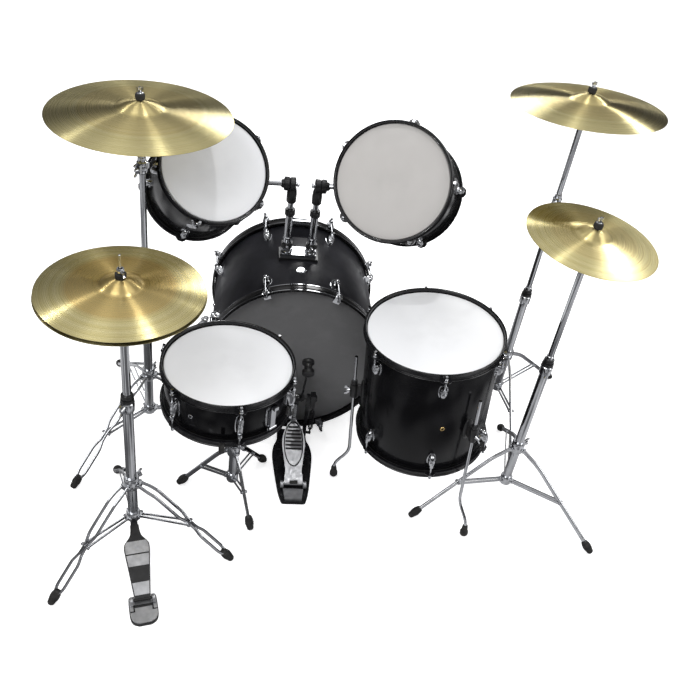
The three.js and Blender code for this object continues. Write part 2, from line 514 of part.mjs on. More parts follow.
// ---- bass drum pedal -------------------------------------------------------
function addBassPedal() {
  const p = PEDAL;
  const group = new THREE.Group();
  group.position.set(p.x, 0, 0);
  bassFrame.add(group);
  const edge = [[36, p.heelY], [42, p.heelY + 8], [54, -500], [63, -420], [67, -365], [62, -325], [50, -292], [50, -240]];
  const outline = [...edge, ...edge.map(([x, y]) => [-x, y]).reverse()];
  const heelPlate = plate([[-28, p.heelY + 10], [28, p.heelY + 10], [34, p.hingeY + 2], [-34, p.hingeY + 2]], 9).translate(0, 0, 3);
  const ears = [-1, 1].map((side) => box(side * 37 - 4, side * 37 + 4, p.hingeY - 8, p.hingeY + 8, 2, p.hingeZ + 6));
  place("bass_pedal_base_plate", join(plate(outline, 4), heelPlate, ...ears), BLACK_STEEL, group);
  // Frame: two posts, bearing blocks, a foot bar and the jaw that grips the hoop.
  const frame = [
    ...[-1, 1].map((side) => box(side * 42 - 6, side * 42 + 6, p.axleY - 9, p.axleY + 9, 4 + FIT, p.axleZ + 14)),
    box(-48, 48, p.axleY + 4, p.axleY + 16, 4 + FIT, 24),
    box(-17, 17, p.axleY + 6, -211, 13, 22),
  ];
  const bearing = rod([-60, p.axleY, p.axleZ], [60, p.axleY, p.axleZ], 5 + FIT, 12);
  place("bass_pedal_frame", cut(join(...frame), bearing), BLACK_STEEL, group);
  const run = p.toeY - p.hingeY;
  const rise = p.toeZ - p.hingeZ;
  const slope = Math.atan2(rise, run);
  const half = [[31, 0], [27, 45], [33, 100], [38, 140], [35, 180], [22, 215], [9, 240]];
  const board = plate([...half, ...half.map(([x, y]) => [-x, y]).reverse()], 5)
    .rotateX(slope)
    .translate(0, p.hingeY, p.hingeZ);
  const pin = rod([-32, p.hingeY, p.hingeZ], [32, p.hingeY, p.hingeZ], 4, 8);
  place("bass_pedal_footboard", join(board, pin), ALUMINIUM, group);
  // Beater: axle, cam, shaft and a spool-shaped striker, leaning back at rest.
  const lean = THREE.MathUtils.degToRad(p.beaterLean);
  const spool = turned([[0, -24], [20, -24], [20, -12], [12, -6], [12, 6], [20, 12], [20, 24], [0, 24]], 16)
    .rotateX(Math.PI / 2)
    .translate(0, 0, p.beaterLength);
  const swing = join(rod([0, 0, 0], [0, 0, p.beaterLength], 3.5, 8), spool).rotateX(lean).translate(p.beaterX, p.axleY, p.axleZ);
  const axle = rod([-50, p.axleY, p.axleZ], [50, p.axleY, p.axleZ], 5, 12);
  const cam = rod([-9, p.axleY, p.axleZ], [9, p.axleY, p.axleZ], 30, 12);
  place("bass_pedal_beater", join(axle, cam, swing), BLACK_STEEL, group);
}

addBassDrum();
addSpurs();
addTomMount();
TOMS.forEach(addRackTom);
addFloorTom();
addSnare();
addSnareStand();
addHiHat();
CYMBALS.forEach(addCymbalStand);
addBassPedal();

export default kit;
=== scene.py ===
"""The looks of an acoustic drum kit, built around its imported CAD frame.

Shapes are made in millimetres in a local frame and placed in metres in the row frame.
"""

import math

import bmesh
import bpy
from mathutils import Matrix, Vector


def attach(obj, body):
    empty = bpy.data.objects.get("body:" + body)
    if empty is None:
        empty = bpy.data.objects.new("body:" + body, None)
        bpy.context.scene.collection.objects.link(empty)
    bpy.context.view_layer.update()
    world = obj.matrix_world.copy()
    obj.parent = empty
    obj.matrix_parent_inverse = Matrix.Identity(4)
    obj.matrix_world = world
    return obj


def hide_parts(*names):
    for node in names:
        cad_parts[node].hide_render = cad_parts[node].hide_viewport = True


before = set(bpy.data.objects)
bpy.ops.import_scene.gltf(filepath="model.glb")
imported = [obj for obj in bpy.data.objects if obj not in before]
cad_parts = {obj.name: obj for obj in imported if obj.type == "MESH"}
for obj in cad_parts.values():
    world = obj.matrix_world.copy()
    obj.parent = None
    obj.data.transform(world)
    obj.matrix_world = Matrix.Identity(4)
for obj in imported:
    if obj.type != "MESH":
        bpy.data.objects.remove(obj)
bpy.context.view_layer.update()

# ---- driving dimensions, in mm, the same as the CAD part's ----------------
INCH = 25.4
KIT_CENTRE = (181.4, -383.45)
HOOP_RISE = 12
ROD_OFFSET = 15
BASS_R, BASS_D = 11 * INCH, 16 * INCH
BASS_HOOP_IN, BASS_HOOP_OUT, BASS_HOOP_WIDTH = 284, 292, 38
BASS_Z, BASS_ROD_R = BASS_HOOP_OUT, 301
BASS_LUGS = [22.5 + 45 * i for i in range(8)]
FLOOR_TOM = dict(name="floor_tom", r=196, d=15 * INCH, lugs=6, first=-91,
                 head=(371, -456, 640), normal=(-0.075, -0.005, 0.997))
FLOOR_LEGS = (179, -61, 59)
SNARE = dict(name="snare", r=176, d=5 * INCH, lugs=6, first=-78, head=(-213, -543, 552))
STRAINER = -48
TOMS = [
    dict(name="left_tom", r=150, d=10 * INCH, lugs=5, first=36, head=(-279, -160, 939),
         normal=(0.268, -0.705, 0.657), post=-48, side=-1),
    dict(name="right_tom", r=163, d=11 * INCH, lugs=5, first=36, head=(218, -208, 965),
         normal=(-0.357, -0.794, 0.493), post=32, side=1),
]
KNUCKLE_Z, SOCKET_TOP, SLEEVE_TOP, ARM_OFFSET = 826, 640, 718, 16
HIHAT = dict(name="hihat", x=-460, y=-737, edge=903, gap=9, r=7.5 * INCH, first=-12, foot=290,
             pedal=-77, hinge=213, tube_top=575, hub_up=262, hub_low=128, legs="double")
CYMBALS = [
    dict(name="ride", x=-470, y=-252, edge=1114, r=238, lean=(0, 0), first=-5, foot=350,
         tube_top=620, legs="double", clamp=974),
    dict(name="rear_crash", x=786, y=-48, edge=1180, r=9 * INCH, lean=(-2.2, -3.8), first=30,
         foot=320, tube_top=515, legs="single", clamp=868),
    dict(name="front_crash", x=708, y=-520, edge=1002, r=7 * INCH, lean=(3.2, 3.3), first=-43,
         foot=336, tube_top=590, legs="single"),
]
HUB_UP, HUB_LOW, FOOT_R, LOWER_PIPE_R = 240, 92, 11, 14
MIDDLE_PIPE_R, UPPER_PIPE_R, TILTER_ROD_R = 11, 9, 3.4
PIVOT_DROP, BRACE_SHARE = 62, 0.42
BOW_RISE, BELL_RISE = 0.09, 17
SNARE_WIRES, SNARE_ARMS = 20, (28, 148, 268)
SNARE_STAND = dict(name="snare_stand", x=-185, y=-530, first=-68, foot=168, hub_up=190,
                   hub_low=74, tube_top=300, legs="single", arm_z=398.2)
PEDAL = dict(x=12, heel=-578, hinge=-512, toe=-292, hinge_z=24, toe_z=92, axle=-275, axle_z=185,
             lean=20, length=205, beater_x=20)
SPUR = dict(y=55, z=236, direction=(0.42, 0.42, -0.8))


# ---- frames ---------------------------------------------------------------
def kit(x, y, z):
    return Vector((x - KIT_CENTRE[0], y - KIT_CENTRE[1], z)) / 1000


def at(x, y, z, turn=0.0):
    return Matrix.Translation(kit(x, y, z)) @ Matrix.Rotation(math.radians(turn), 4, "Z")


def spin(degrees, axis="Z"):
    """A turn about an axis through the origin."""
    return Matrix.Rotation(math.radians(degrees), 4, axis)


def shift(x=0.0, y=0.0, z=0.0):
    """A move along the axes."""
    return Matrix.Translation((x, y, z))


def basis(origin, x_axis, z_axis):
    """A frame in the row frame from its origin and two perpendicular axes."""
    y_axis = z_axis.cross(x_axis)
    rows = Matrix((x_axis, y_axis, z_axis)).transposed().to_4x4()
    return Matrix.Translation(origin) @ rows


def drum_frame(drum):
    """A drum's frame: Z towards the batter head, X towards the holder for a rack tom."""
    normal = Vector(drum.get("normal", (0, 0, 1))).normalized()
    centre = Vector(drum["head"]) - normal * (drum["d"] / 2 + HOOP_RISE)
    if "post" not in drum:
        turn = Vector((0, 0, 1)).rotation_difference(normal).to_matrix().to_4x4()
        return Matrix.Translation(kit(*centre)) @ turn
    knuckle = Vector((drum["post"] + drum["side"] * ARM_OFFSET, 0, KNUCKLE_Z))
    outward = knuckle - Vector(drum["head"])
    outward = (outward - normal * outward.dot(normal)).normalized()
    return basis(kit(*centre), outward, normal)


# ---- shapes: each returns (vertices, faces) in millimetres ------------------
def lathe(profile, segments=64):
    """A solid of revolution about Z. It closes on the axis where the profile touches it."""
    verts, rings = [], []
    for r, z in profile:
        if r < 1e-6:
            rings.append([len(verts)] * segments)
            verts.append((0, 0, z))
            continue
        rings.append(list(range(len(verts), len(verts) + segments)))
        for i in range(segments):
            t = 2 * math.pi * i / segments
            verts.append((r * math.cos(t), r * math.sin(t), z))
    on_axis = profile[0][0] < 1e-6
    pairs = list(zip(rings, rings[1:])) + ([] if on_axis else [(rings[-1], rings[0])])
    faces = []
    for low, high in pairs:
        for i in range(segments):
            k = (i + 1) % segments
            loop = [low[i], low[k], high[k], high[i]]
            loop = [v for n, v in enumerate(loop) if v != loop[n - 1]]
            if len(loop) > 2:
                faces.append(loop)
    return verts, faces


def along(a, b):
    """A frame at a whose Z axis points to b."""
    a, b = Vector(a), Vector(b)
    return Matrix.Translation(a) @ (b - a).to_track_quat("Z", "Y").to_matrix().to_4x4()


def lifted(profile, z=0.0, r=0.0):
    """A profile's points raised by z and moved out by r."""
    return [(a + r, b + z) for a, b in profile]


def moved(shape, matrix):
    return [tuple(matrix @ Vector(v)) for v in shape[0]], shape[1]


def placed(shapes, matrix):
    return [moved(shape, matrix) for shape in shapes]


def pipe(inner, outer, low, high, sides=36):
    """A plain tube about Z."""
    return lathe([(inner, low), (outer, low), (outer, high), (inner, high)], sides)


def bush(inner, outer, low, high, rim=1.0, edge=1.0, sides=28):
    """A ring about Z with its outer edges chamfered, by rim across and by edge along."""
    return lathe([(inner, low), (outer - rim, low), (outer, low + edge), (outer, high - edge),
                  (outer - rim, high), (inner, high)], sides)


def rod(a, b, r, end=None, chamfer=0.8, sides=24):
    """A round bar from a to b with chamfered ends."""
    end = r if end is None else end
    length = (Vector(b) - Vector(a)).length
    c = min(chamfer, r * 0.6, end * 0.6, length * 0.4)
    profile = [(0, 0), (r - c, 0), (r, c), (end, length - c), (end - c, length), (0, length)]
    return moved(lathe(profile, sides), along(a, b))


def rounded_path(points, bend, steps=6):
    """The polyline with each inner corner replaced by an arc-like curve of about that reach."""
    pts = [Vector(p) for p in points]
    path = [pts[0]]
    for before, corner, after in zip(pts, pts[1:], pts[2:]):
        reach = min(bend, (corner - before).length * 0.45, (after - corner).length * 0.45)
        a = corner + (before - corner).normalized() * reach
        b = corner + (after - corner).normalized() * reach
        for i in range(steps + 1):
            t = i / steps
            path.append(a * (1 - t) ** 2 + corner * 2 * t * (1 - t) + b * t**2)
    return path + [pts[-1]]


def circle(r, sides=14):
    return [(r * math.cos(2 * math.pi * i / sides), r * math.sin(2 * math.pi * i / sides))
            for i in range(sides)]


def oval(width, height, sides=20, power=3.2):
    """A superellipse section: nearly a rectangle with round corners."""
    out = []
    for i in range(sides):
        t = 2 * math.pi * i / sides
        c, s = math.cos(t), math.sin(t)
        x = math.copysign(abs(c) ** (2 / power), c) * width / 2
        out.append((x, math.copysign(abs(s) ** (2 / power), s) * height / 2))
    return out


def sweep(path, section, side=None):
    """The section carried along the path. side fixes the section's first axis for a flat bar."""
    path = [Vector(p) for p in path]
    verts, n = [], len(section)
    last = None
    for i, p in enumerate(path):
        tangent = (path[min(i + 1, len(path) - 1)] - path[max(i - 1, 0)]).normalized()
        if side is not None:
            u = Vector(side)
        elif last is None:
            u = tangent.orthogonal()
        else:
            u = last
        u = (u - tangent * u.dot(tangent)).normalized()
        last = u
        v = tangent.cross(u)
        verts += [tuple(p + u * a + v * b) for a, b in section]
    faces = [list(range(n))[::-1], list(range(len(verts) - n, len(verts)))]
    for k in range(len(path) - 1):
        for i in range(n):
            j = (i + 1) % n
            faces.append([k * n + i, k * n + j, (k + 1) * n + j, (k + 1) * n + i])
    return verts, faces


def tube(points, r, bend=20, sides=14):
    return sweep(rounded_path(points, bend), circle(r, sides))


def coil(a, b, r, wire, turns, steps=10):
    """A spring between two points."""
    frame_ab, length = along(a, b), (Vector(b) - Vector(a)).length
    count = int(turns * steps)
    path = []
    for i in range(count + 1):
        t = 2 * math.pi * i / steps
        path.append(frame_ab @ Vector((r * math.cos(t), r * math.sin(t), length * i / count)))
    return sweep(path, circle(wire, 6))


def softened(build, bevel, segments=2):
    """Runs build on a bmesh, bevels its hard edges and returns the shape."""
    bm = bmesh.new()
    build(bm)
    if bevel > 0:
        edges = [e for e in bm.edges if e.is_manifold and e.calc_face_angle() > math.radians(30)]
        bmesh.ops.bevel(bm, geom=edges, offset=bevel, segments=segments, profile=0.5,
                        affect="EDGES", clamp_overlap=True)
    bm.verts.index_update()
    shape = [tuple(v.co) for v in bm.verts], [[v.index for v in f.verts] for f in bm.faces]
    bm.free()
    return shape


def prism(outline, low, high, bevel=1.0):
    """An outline in X and Y, extruded from low to high, with softened edges."""
    def build(bm):
        base = [bm.verts.new((x, y, low)) for x, y in outline]
        top = [bm.verts.new((x, y, high)) for x, y in outline]
        bm.faces.new(base[::-1])
        bm.faces.new(top)
        for i in range(len(outline)):
            k = (i + 1) % len(outline)
            bm.faces.new((base[i], base[k], top[k], top[i]))
    return softened(build, bevel)


def block(x0, x1, y0, y1, z0, z1, bevel=1.5):
    return prism([(x0, y0), (x1, y0), (x1, y1), (x0, y1)], z0, z1, bevel)


def dome_block(width, depth, low, high, swell=0.55, flutes=0, rows=14, columns=12):
    """A cast lug: bulges out along +X from X = 0, pinched at both ends in Z, widest at swell."""
    verts, faces = [], []
    for i in range(rows + 1):
        t = i / rows
        warped = t ** (math.log(0.5) / math.log(swell))
        fat = 0.30 + 0.70 * max(math.sin(math.pi * warped), 0.0) ** 0.42
        for k in range(columns + 1):
            phi = math.pi * (k / columns - 0.5)
            ripple = 1 + (0.07 * math.cos(flutes * phi) if flutes else 0)
            x = depth * fat * max(math.cos(phi), 0) ** 0.6 * ripple
            verts.append((x, width / 2 * fat * math.sin(phi), low + (high - low) * t))
    n = columns + 1
    for i in range(rows):
        for k in range(columns):
            a = i * n + k
            faces.append([a, a + 1, a + n + 1, a + n])
        faces.append([i * n + columns, i * n, (i + 1) * n, (i + 1) * n + columns])
    faces.append(list(range(n))[::-1])
    faces.append(list(range(rows * n, rows * n + n)))
    return verts, faces


def wing_nut(height=16, span=34, hub=7):
    """A wing nut standing on Z = 0."""
    wing = [(3, 2), (span * 0.32, 3), (span * 0.5, height * 0.75), (span * 0.47, height + 4),
            (span * 0.36, height + 5), (span * 0.22, height * 0.72), (3, height * 0.6)]
    flat = prism(wing, -2.2, 2.2, 1.2)
    middle = [(0, 0), (hub, 0), (hub + 1, 1.5), (hub * 0.8, height * 0.8), (hub * 0.6, height), (0, height)]
    return [lathe(middle, 24)] + [moved(flat, spin(turn) @ spin(90, "X")) for turn in (0, 180)]


def t_handle(a, b, r=3.2, bar=38):
    """A threaded rod from a to b with a rounded cross bar at b."""
    m = along(a, b)
    length = (Vector(b) - Vector(a)).length
    cross = lathe([(0, -bar / 2), (3.4, -bar / 2 + 1), (4.6, -bar / 2 + 4), (4.2, -6), (5, 0),
                   (4.2, 6), (4.6, bar / 2 - 4), (3.4, bar / 2 - 1), (0, bar / 2)], 16)
    boss = lathe(lifted([(0, -8), (6, -8), (6.5, -2), (5, 4), (0, 5)], length), 16)
    return [rod(a, b, r, sides=12), moved(cross, m @ shift(z=length) @ spin(90, "Y")), moved(boss, m)]


# ---- materials ----------------------------------------------------------------
class Look:
    """A small helper to wire a procedural material."""

    def __init__(self, name):
        self.material = bpy.data.materials.new(name)
        self.material.use_nodes = True
        self.tree = self.material.node_tree
        self.shader = self.tree.nodes["Principled BSDF"]
        self.coords = self.tree.nodes.new("ShaderNodeTexCoord").outputs["Object"]

    def set(self, **values):
        for key, value in values.items():
            self.shader.inputs[key.replace("_", " ")].default_value = value
        return self

    def node(self, kind, links=(), **values):
        made = self.tree.nodes.new(kind)
        for key, value in values.items():
            if key in made.inputs:
                made.inputs[key].default_value = value
            else:
                setattr(made, key, value)
        for socket, source in dict(links).items():
            self.tree.links.new(source, made.inputs[socket])
        return made

    def noise(self, scale, detail=3.0):
        return self.node("ShaderNodeTexNoise", {"Vector": self.coords},
                         Scale=scale, Detail=detail).outputs["Fac"]

    def rings(self, radius, scale, detail=2.0):
        """Noise along the distance from the axis."""
        return self.node("ShaderNodeTexNoise", {"W": radius}, noise_dimensions="1D",
                         Scale=scale, Detail=detail).outputs["Fac"]

    def span(self, source, low, high, start=0.35, stop=0.65):
        made = self.node("ShaderNodeMapRange", {"Value": source})
        for key, value in (("From Min", start), ("From Max", stop), ("To Min", low), ("To Max", high)):
            made.inputs[key].default_value = value
        return made.outputs["Result"]

    def math(self, operation, a, b=None):
        made = self.node("ShaderNodeMath", operation=operation)
        for i, value in enumerate((a, b)):
            if value is None:
                continue
            if isinstance(value, (int, float)):
                made.inputs[i].default_value = value
            else:
                self.tree.links.new(value, made.inputs[i])
        return made.outputs[0]

    def mix(self, fac, a, b):
        made = self.node("ShaderNodeMix", data_type="RGBA")
        self.tree.links.new(fac, made.inputs["Factor"])
        for socket, value in (("A", a), ("B", b)):
            inp = [s for s in made.inputs if s.name == socket and s.type == "RGBA"][0]
            if isinstance(value, tuple):
                inp.default_value = (*value, 1)
            else:
                self.tree.links.new(value, inp)
        return [s for s in made.outputs if s.type == "RGBA"][0]

    def colour(self, source):
        self.tree.links.new(source, self.shader.inputs["Base Color"])
        return self

    def rough(self, source):
        self.tree.links.new(source, self.shader.inputs["Roughness"])
        return self

    def bump(self, height, strength=0.2, distance=0.001):
        made = self.node("ShaderNodeBump", {"Height": height}, Strength=strength, Distance=distance)
        self.tree.links.new(made.outputs["Normal"], self.shader.inputs["Normal"])
        return self

    def radius(self):
        """Distance from the piece's own Z axis, in metres."""
        split = self.node("ShaderNodeSeparateXYZ", {"Vector": self.coords}).outputs
        square = self.math("ADD", self.math("MULTIPLY", split["X"], split["X"]),
                           self.math("MULTIPLY", split["Y"], split["Y"]))
        return self.math("SQRT", square)


def scaled(tint, factor):
    return tuple(c * factor for c in tint)


def shell_wrap(name="shell_wrap", tone=1.0, haze=0.0):
    """Glossy black plastic wrap. A tone above 1 lightens its colour and haze roughens it."""
    m = Look(name).set(Metallic=0.0, Specular_IOR_Level=0.12, Coat_Weight=0.04, Coat_Roughness=0.04)
    dark, pale = scaled((0.0025, 0.0025, 0.003), tone), scaled((0.005, 0.005, 0.006), tone)
    m.colour(m.mix(m.span(m.noise(9), 0, 1), dark, pale))
    m.rough(m.span(m.noise(14, 5), 0.12 + haze, 0.24 + haze))
    return m.bump(m.noise(60, 2), 0.03, 0.0006).material


def hoop_lacquer():
    """Sprayed black lacquer with a faint orange peel."""
    m = Look("hoop_lacquer").set(Specular_IOR_Level=0.25, Coat_Weight=0.2, Coat_Roughness=0.05)
    m.colour(m.mix(m.span(m.noise(12), 0, 1), (0.005, 0.005, 0.0055), (0.010, 0.0095, 0.010)))
    m.rough(m.span(m.noise(25, 4), 0.12, 0.24))
    return m.bump(m.noise(90, 3), 0.05, 0.0005).material


def coated_head(name="coated_head", tint=(0.86, 0.87, 0.89), radius=0.19):
    """Sprayed film: a fine tooth, faint stick marks in the middle and a cleaner collar."""
    m = Look(name).set(Metallic=0.0, Specular_IOR_Level=0.4)
    marks = m.span(m.noise(16, 6), 0, 1, 0.42, 0.75)
    middle = m.span(m.radius(), 1, 0, radius * 0.2, radius * 0.75)
    m.colour(m.mix(m.math("MULTIPLY", marks, middle), tint, scaled(tint, 0.93)))
    m.rough(m.span(m.noise(40, 4), 0.42, 0.6))
    return m.bump(m.noise(900, 2), 0.25, 0.0003).material


def dark_head():
    """Smoke-black film, scuffed by hands."""
    m = Look("dark_head").set(Coat_Weight=0.12, Coat_Roughness=0.2)
    scuffs = m.span(m.noise(22, 6), 0, 1, 0.5, 0.8)
    m.colour(m.mix(scuffs, (0.145, 0.145, 0.148), (0.168, 0.168, 0.171)))
    m.rough(m.span(m.noise(18, 4), 0.34, 0.46))
    return m.bump(m.noise(500, 2), 0.12, 0.0003).material


def clear_film():
    """The thin film under a drum, a little cloudy."""
    m = Look("clear_film").set(Coat_Weight=0.3, Coat_Roughness=0.1)
    m.colour(m.mix(m.span(m.noise(10), 0, 1), (0.50, 0.51, 0.53), (0.58, 0.59, 0.61)))
    return m.rough(m.span(m.noise(20, 3), 0.18, 0.32)).material


def chrome(name="chrome", base=(0.56, 0.57, 0.59), low=0.035, high=0.11):
    """Plated steel: handling haze in patches and hairline wipe marks."""
    m = Look(name).set(Metallic=1.0)
    m.colour(m.mix(m.span(m.noise(30, 4), 0, 1), base, scaled(base, 0.90)))
    m.rough(m.span(m.noise(26, 6), low, high))
    return m.bump(m.noise(140, 2), 0.02, 0.0004).material


def black_steel(name="black_steel", base=(0.006, 0.006, 0.007), low=0.16, high=0.30):
    """Powder-coated steel or casting."""
    m = Look(name).set(Specular_IOR_Level=0.35, Coat_Weight=0.15, Coat_Roughness=0.12)
    m.colour(m.mix(m.span(m.noise(40, 4), 0, 1), base, scaled(base, 1.9)))
    m.rough(m.span(m.noise(55, 5), low, high))
    return m.bump(m.noise(220, 3), 0.05, 0.0004).material


def rubber():
    """Dusty moulded rubber."""
    m = Look("rubber").set(Specular_IOR_Level=0.35)
    m.colour(m.mix(m.span(m.noise(70, 5), 0, 1), (0.012, 0.012, 0.012), (0.028, 0.027, 0.026)))
    m.rough(m.span(m.noise(90, 4), 0.6, 0.82))
    return m.bump(m.noise(420, 4), 0.25, 0.0005).material


def felt():
    """Pressed wool with a soft nap."""
    m = Look("felt").set(Sheen_Weight=0.4, Sheen_Roughness=0.5)
    m.colour(m.mix(m.span(m.noise(400, 5), 0, 1), (0.020, 0.020, 0.021), (0.055, 0.054, 0.053)))
    m.rough(m.span(m.noise(200, 3), 0.85, 0.97))
    return m.bump(m.noise(1400, 5), 0.6, 0.0008).material


def cast_silver(name="cast_silver", tone=1.0):
    """Tumbled cast aluminium with a satin lacquer."""
    m = Look(name).set(Metallic=0.85, Coat_Weight=0.2, Coat_Roughness=0.3)
    dark, pale = scaled((0.38, 0.385, 0.40), tone), scaled((0.50, 0.505, 0.52), tone)
    m.colour(m.mix(m.span(m.noise(50, 5), 0, 1), dark, pale))
    m.rough(m.span(m.noise(120, 4), 0.28, 0.42))
    return m.bump(m.noise(700, 3), 0.18, 0.0004).material


def bronze(radius, name, browned=0.3):
    """Lathed bronze: tonal grooves round the axis, hammer dents and a browner middle."""
    m = Look(name).set(Metallic=1.0, Anisotropic=0.96, Anisotropic_Rotation=0.25)
    r = m.radius()
    grooves = m.rings(r, 1150, 4.0)
    bands = m.span(m.rings(r, 95), 0, 1, 0.3, 0.7)
    gold = m.mix(bands, (0.64, 0.565, 0.275), (0.76, 0.685, 0.385))
    middle = m.span(r, browned, 0, radius * 0.62, radius * 0.70)
    gold = m.mix(middle, gold, (0.56, 0.375, 0.13))
    fine = m.mix(m.span(grooves, 0, 1, 0.35, 0.6), (0.53, 0.45, 0.20), gold)
    smudge = m.span(m.noise(11, 5), 0.0, 0.35, 0.5, 0.8)
    m.colour(m.mix(smudge, fine, (0.47, 0.385, 0.19)))
    bell = m.span(r, 0.42, 0.27, radius * 0.2, radius * 0.27)
    m.rough(m.math("ADD", bell, m.span(grooves, -0.05, 0.07, 0.3, 0.7)))
    dents = m.node("ShaderNodeTexVoronoi", {"Vector": m.coords}, Scale=46.0).outputs["Distance"]
    height = m.math("ADD", m.math("MULTIPLY", grooves, 0.35), m.math("MULTIPLY", dents, 0.25))
    m.bump(height, 0.22, 0.0006)
    tangent = m.node("ShaderNodeTangent", direction_type="RADIAL", axis="Z")
    m.tree.links.new(tangent.outputs["Tangent"], m.shader.inputs["Tangent"])
    return m.material


def floor_paint():
    """Pale paint. Its glow is for the camera only, and polished metal finds darker patches in it."""
    m = Look("floor_paint").set(Roughness=0.75, Specular_IOR_Level=0.2, Emission_Color=(1, 1, 1, 1))
    seen = m.node("ShaderNodeLightPath")
    m.tree.links.new(m.math("MULTIPLY", seen.outputs["Is Camera Ray"], 0.6),
                     m.shader.inputs["Emission Strength"])
    pale = m.mix(m.span(m.noise(0.8), 0, 1), (0.93, 0.93, 0.935), (0.945, 0.945, 0.95))
    patches = m.mix(m.span(m.noise(1.5, 1), 0, 1, 0.45, 0.57), (0.12, 0.12, 0.125), (0.66, 0.66, 0.67))
    m.colour(m.mix(seen.outputs["Is Glossy Ray"], pale, patches))
    return m.material


LOOKS = {
    "wrap": (shell_wrap(), "shell_wrap"),
    # A lighter, rougher copy of the wrap, for the bass drum's shell.
    "lighter_wrap": (shell_wrap("lighter_wrap", 4.5, 0.16), "shell_wrap"),
    "hoop": (hoop_lacquer(), "hoop_lacquer"),
    "head": (coated_head(), "coated_drumhead"),
    "grey_head": (coated_head("worn_head", (0.47, 0.455, 0.44), 0.165), "coated_drumhead"),
    "dark": (dark_head(), "dark_drumhead"),
    "film": (clear_film(), "clear_drumhead"),
    "chrome": (chrome(), "chrome"),
    "steel": (chrome("bright_steel", (0.62, 0.62, 0.63), 0.2, 0.35), "brushed_steel"),
    "brass": (chrome("brass", (0.78, 0.56, 0.24), 0.12, 0.22), "cymbal_bronze"),
    "black": (black_steel(), "black_steel"),
    "knob": (black_steel("black_casting", (0.009, 0.009, 0.0095), 0.3, 0.48), "black_steel"),
    "rubber": (rubber(), "black_steel"),
    "felt": (felt(), "black_steel"),
    "silver": (cast_silver(), "cast_aluminium"),
    "dull_silver": (cast_silver("worn_silver", 0.6), "cast_aluminium"),
}


# ---- pieces ---------------------------------------------------------------
def piece(name, body, look, place, shapes, replaces=(), soft_angle=38):
    """Makes one object from shapes in millimetres, in the frame place, riding on body."""
    material, slot = LOOKS[look] if isinstance(look, str) else look
    verts, faces = [], []
    for shape in shapes:
        start = len(verts)
        verts += [tuple(c / 1000 for c in v) for v in shape[0]]
        faces += [[i + start for i in f] for f in shape[1]]
    mesh = bpy.data.meshes.new(name)
    mesh.from_pydata(verts, [], faces)
    bm = bmesh.new()
    bm.from_mesh(mesh)
    bmesh.ops.recalc_face_normals(bm, faces=bm.faces)
    bm.to_mesh(mesh)
    bm.free()
    mesh.polygons.foreach_set("use_smooth", [True] * len(mesh.polygons))
    mesh.set_sharp_from_angle(angle=math.radians(soft_angle))
    mesh.materials.append(material)
    obj = bpy.data.objects.new(name, mesh)
    bpy.context.scene.collection.objects.link(obj)
    obj.matrix_world = place
    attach(obj, body)
    if replaces:
        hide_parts(*replaces)


def turned(shapes, angles):
    """Copies of the shapes at each angle about Z."""
    return [moved(shape, spin(a)) for a in angles for shape in shapes]


def flipped(shapes):
    """The shapes turned over about X, for a drum's bottom end. Angles about Z come out mirrored."""
    return placed(shapes, spin(180, "X"))


# ---- drums ------------------------------------------------------------------
def steel_hoop(r, top, angles):
    """A triple-flanged hoop with an ear at each rod."""
    wall = [(12, -10), (12.4, -8.9), (11.6, -7.9), (7.6, -7.6), (6.6, -6.6), (6.2, -4), (6.2, 7), (6.8, 8.8),
            (8.4, 10), (9.6, 10.6), (9.8, 11.8), (8.8, 12.6), (6.6, 11.8), (4.8, 10.2), (4.0, 8.0),
            (4.0, -8), (4.8, -9.6), (6.6, -10.1)]
    ear = [(r + 5, -18), (r + 16, -15), (r + 22.5, -7), (r + 22.5, 7), (r + 16, 15), (r + 5, 18)]
    return [lathe(lifted(wall, top, r), 120)] + turned([prism(ear, top - 10.2, top - 7, 1.0)], angles)


def tension_rods(r, top, bottom, angles):
    """Square-headed rods with a washer, from above the ear down into the lug."""
    x = r + ROD_OFFSET
    washer = lifted([(0, -7), (6.8, -7), (7, -6), (6.6, -5), (5.2, -4.4), (5.2, 2), (4.2, 3.2), (0, 3.2)],
                    top)
    head = placed([block(-3.2, 3.2, -3.2, 3.2, top + 3, top + 11, 0.8), lathe(washer, 20)], shift(x))
    return turned(head + [rod((x, 0, top - 5), (x, 0, bottom), 2.9, sides=14)], angles)


def tom_lugs(r, low, high, angles, width=23, flutes=0, swell=0.58):
    """Teardrop castings with the nut's collar at the top."""
    body = moved(dome_block(width, 22, low, high, swell, flutes), shift(r - 1.2))
    collar = lifted([(0, -16), (6.4, -16), (6.4, -3), (5.6, 0), (3.2, 0), (0, -1)], high)
    nut = moved(lathe(collar, 20), shift(r + ROD_OFFSET))
    seat = moved(dome_block(width + 5, 2.6, low - 2, high + 1.5, swell), shift(r - 0.8))
    return turned([body, nut, seat], angles)


def film(r, top, crown=0.5):
    """A drumhead: film that rolls over the bearing edge."""
    outer = [(-r, crown + 0.4), (-0.2 * r, crown + 0.4), (-3, 1.3), (-0.4, 1.1), (0.9, -0.4), (1.3, -2.6)]
    inner = [(0.3, -2.8), (-0.8, -0.9), (-2.4, 0.3), (-r, 0.3)]
    return lathe(lifted((outer + inner)[::-1], top, r), 120)


def flesh_hoop(r, top, collar=7):
    """The ring in which a drumhead's film ends, clamped by the hoop."""
    foot = -collar - 1.6
    return lathe(lifted([(0.5, -2.4), (3.2, -2.4), (3.8, -3), (3.8, foot), (0.5, foot)], top, r), 96)


def shell(r, d, wall=7):
    """A drum's wall, centred on its frame, with a bearing edge cut at both ends."""
    edge = lifted([(-wall, -4), (-3.4, -0.4), (-1.2, -1.6), (0, -4.5)], d / 2, r)
    return lathe([(x, -z) for x, z in edge] + edge[::-1], 128)


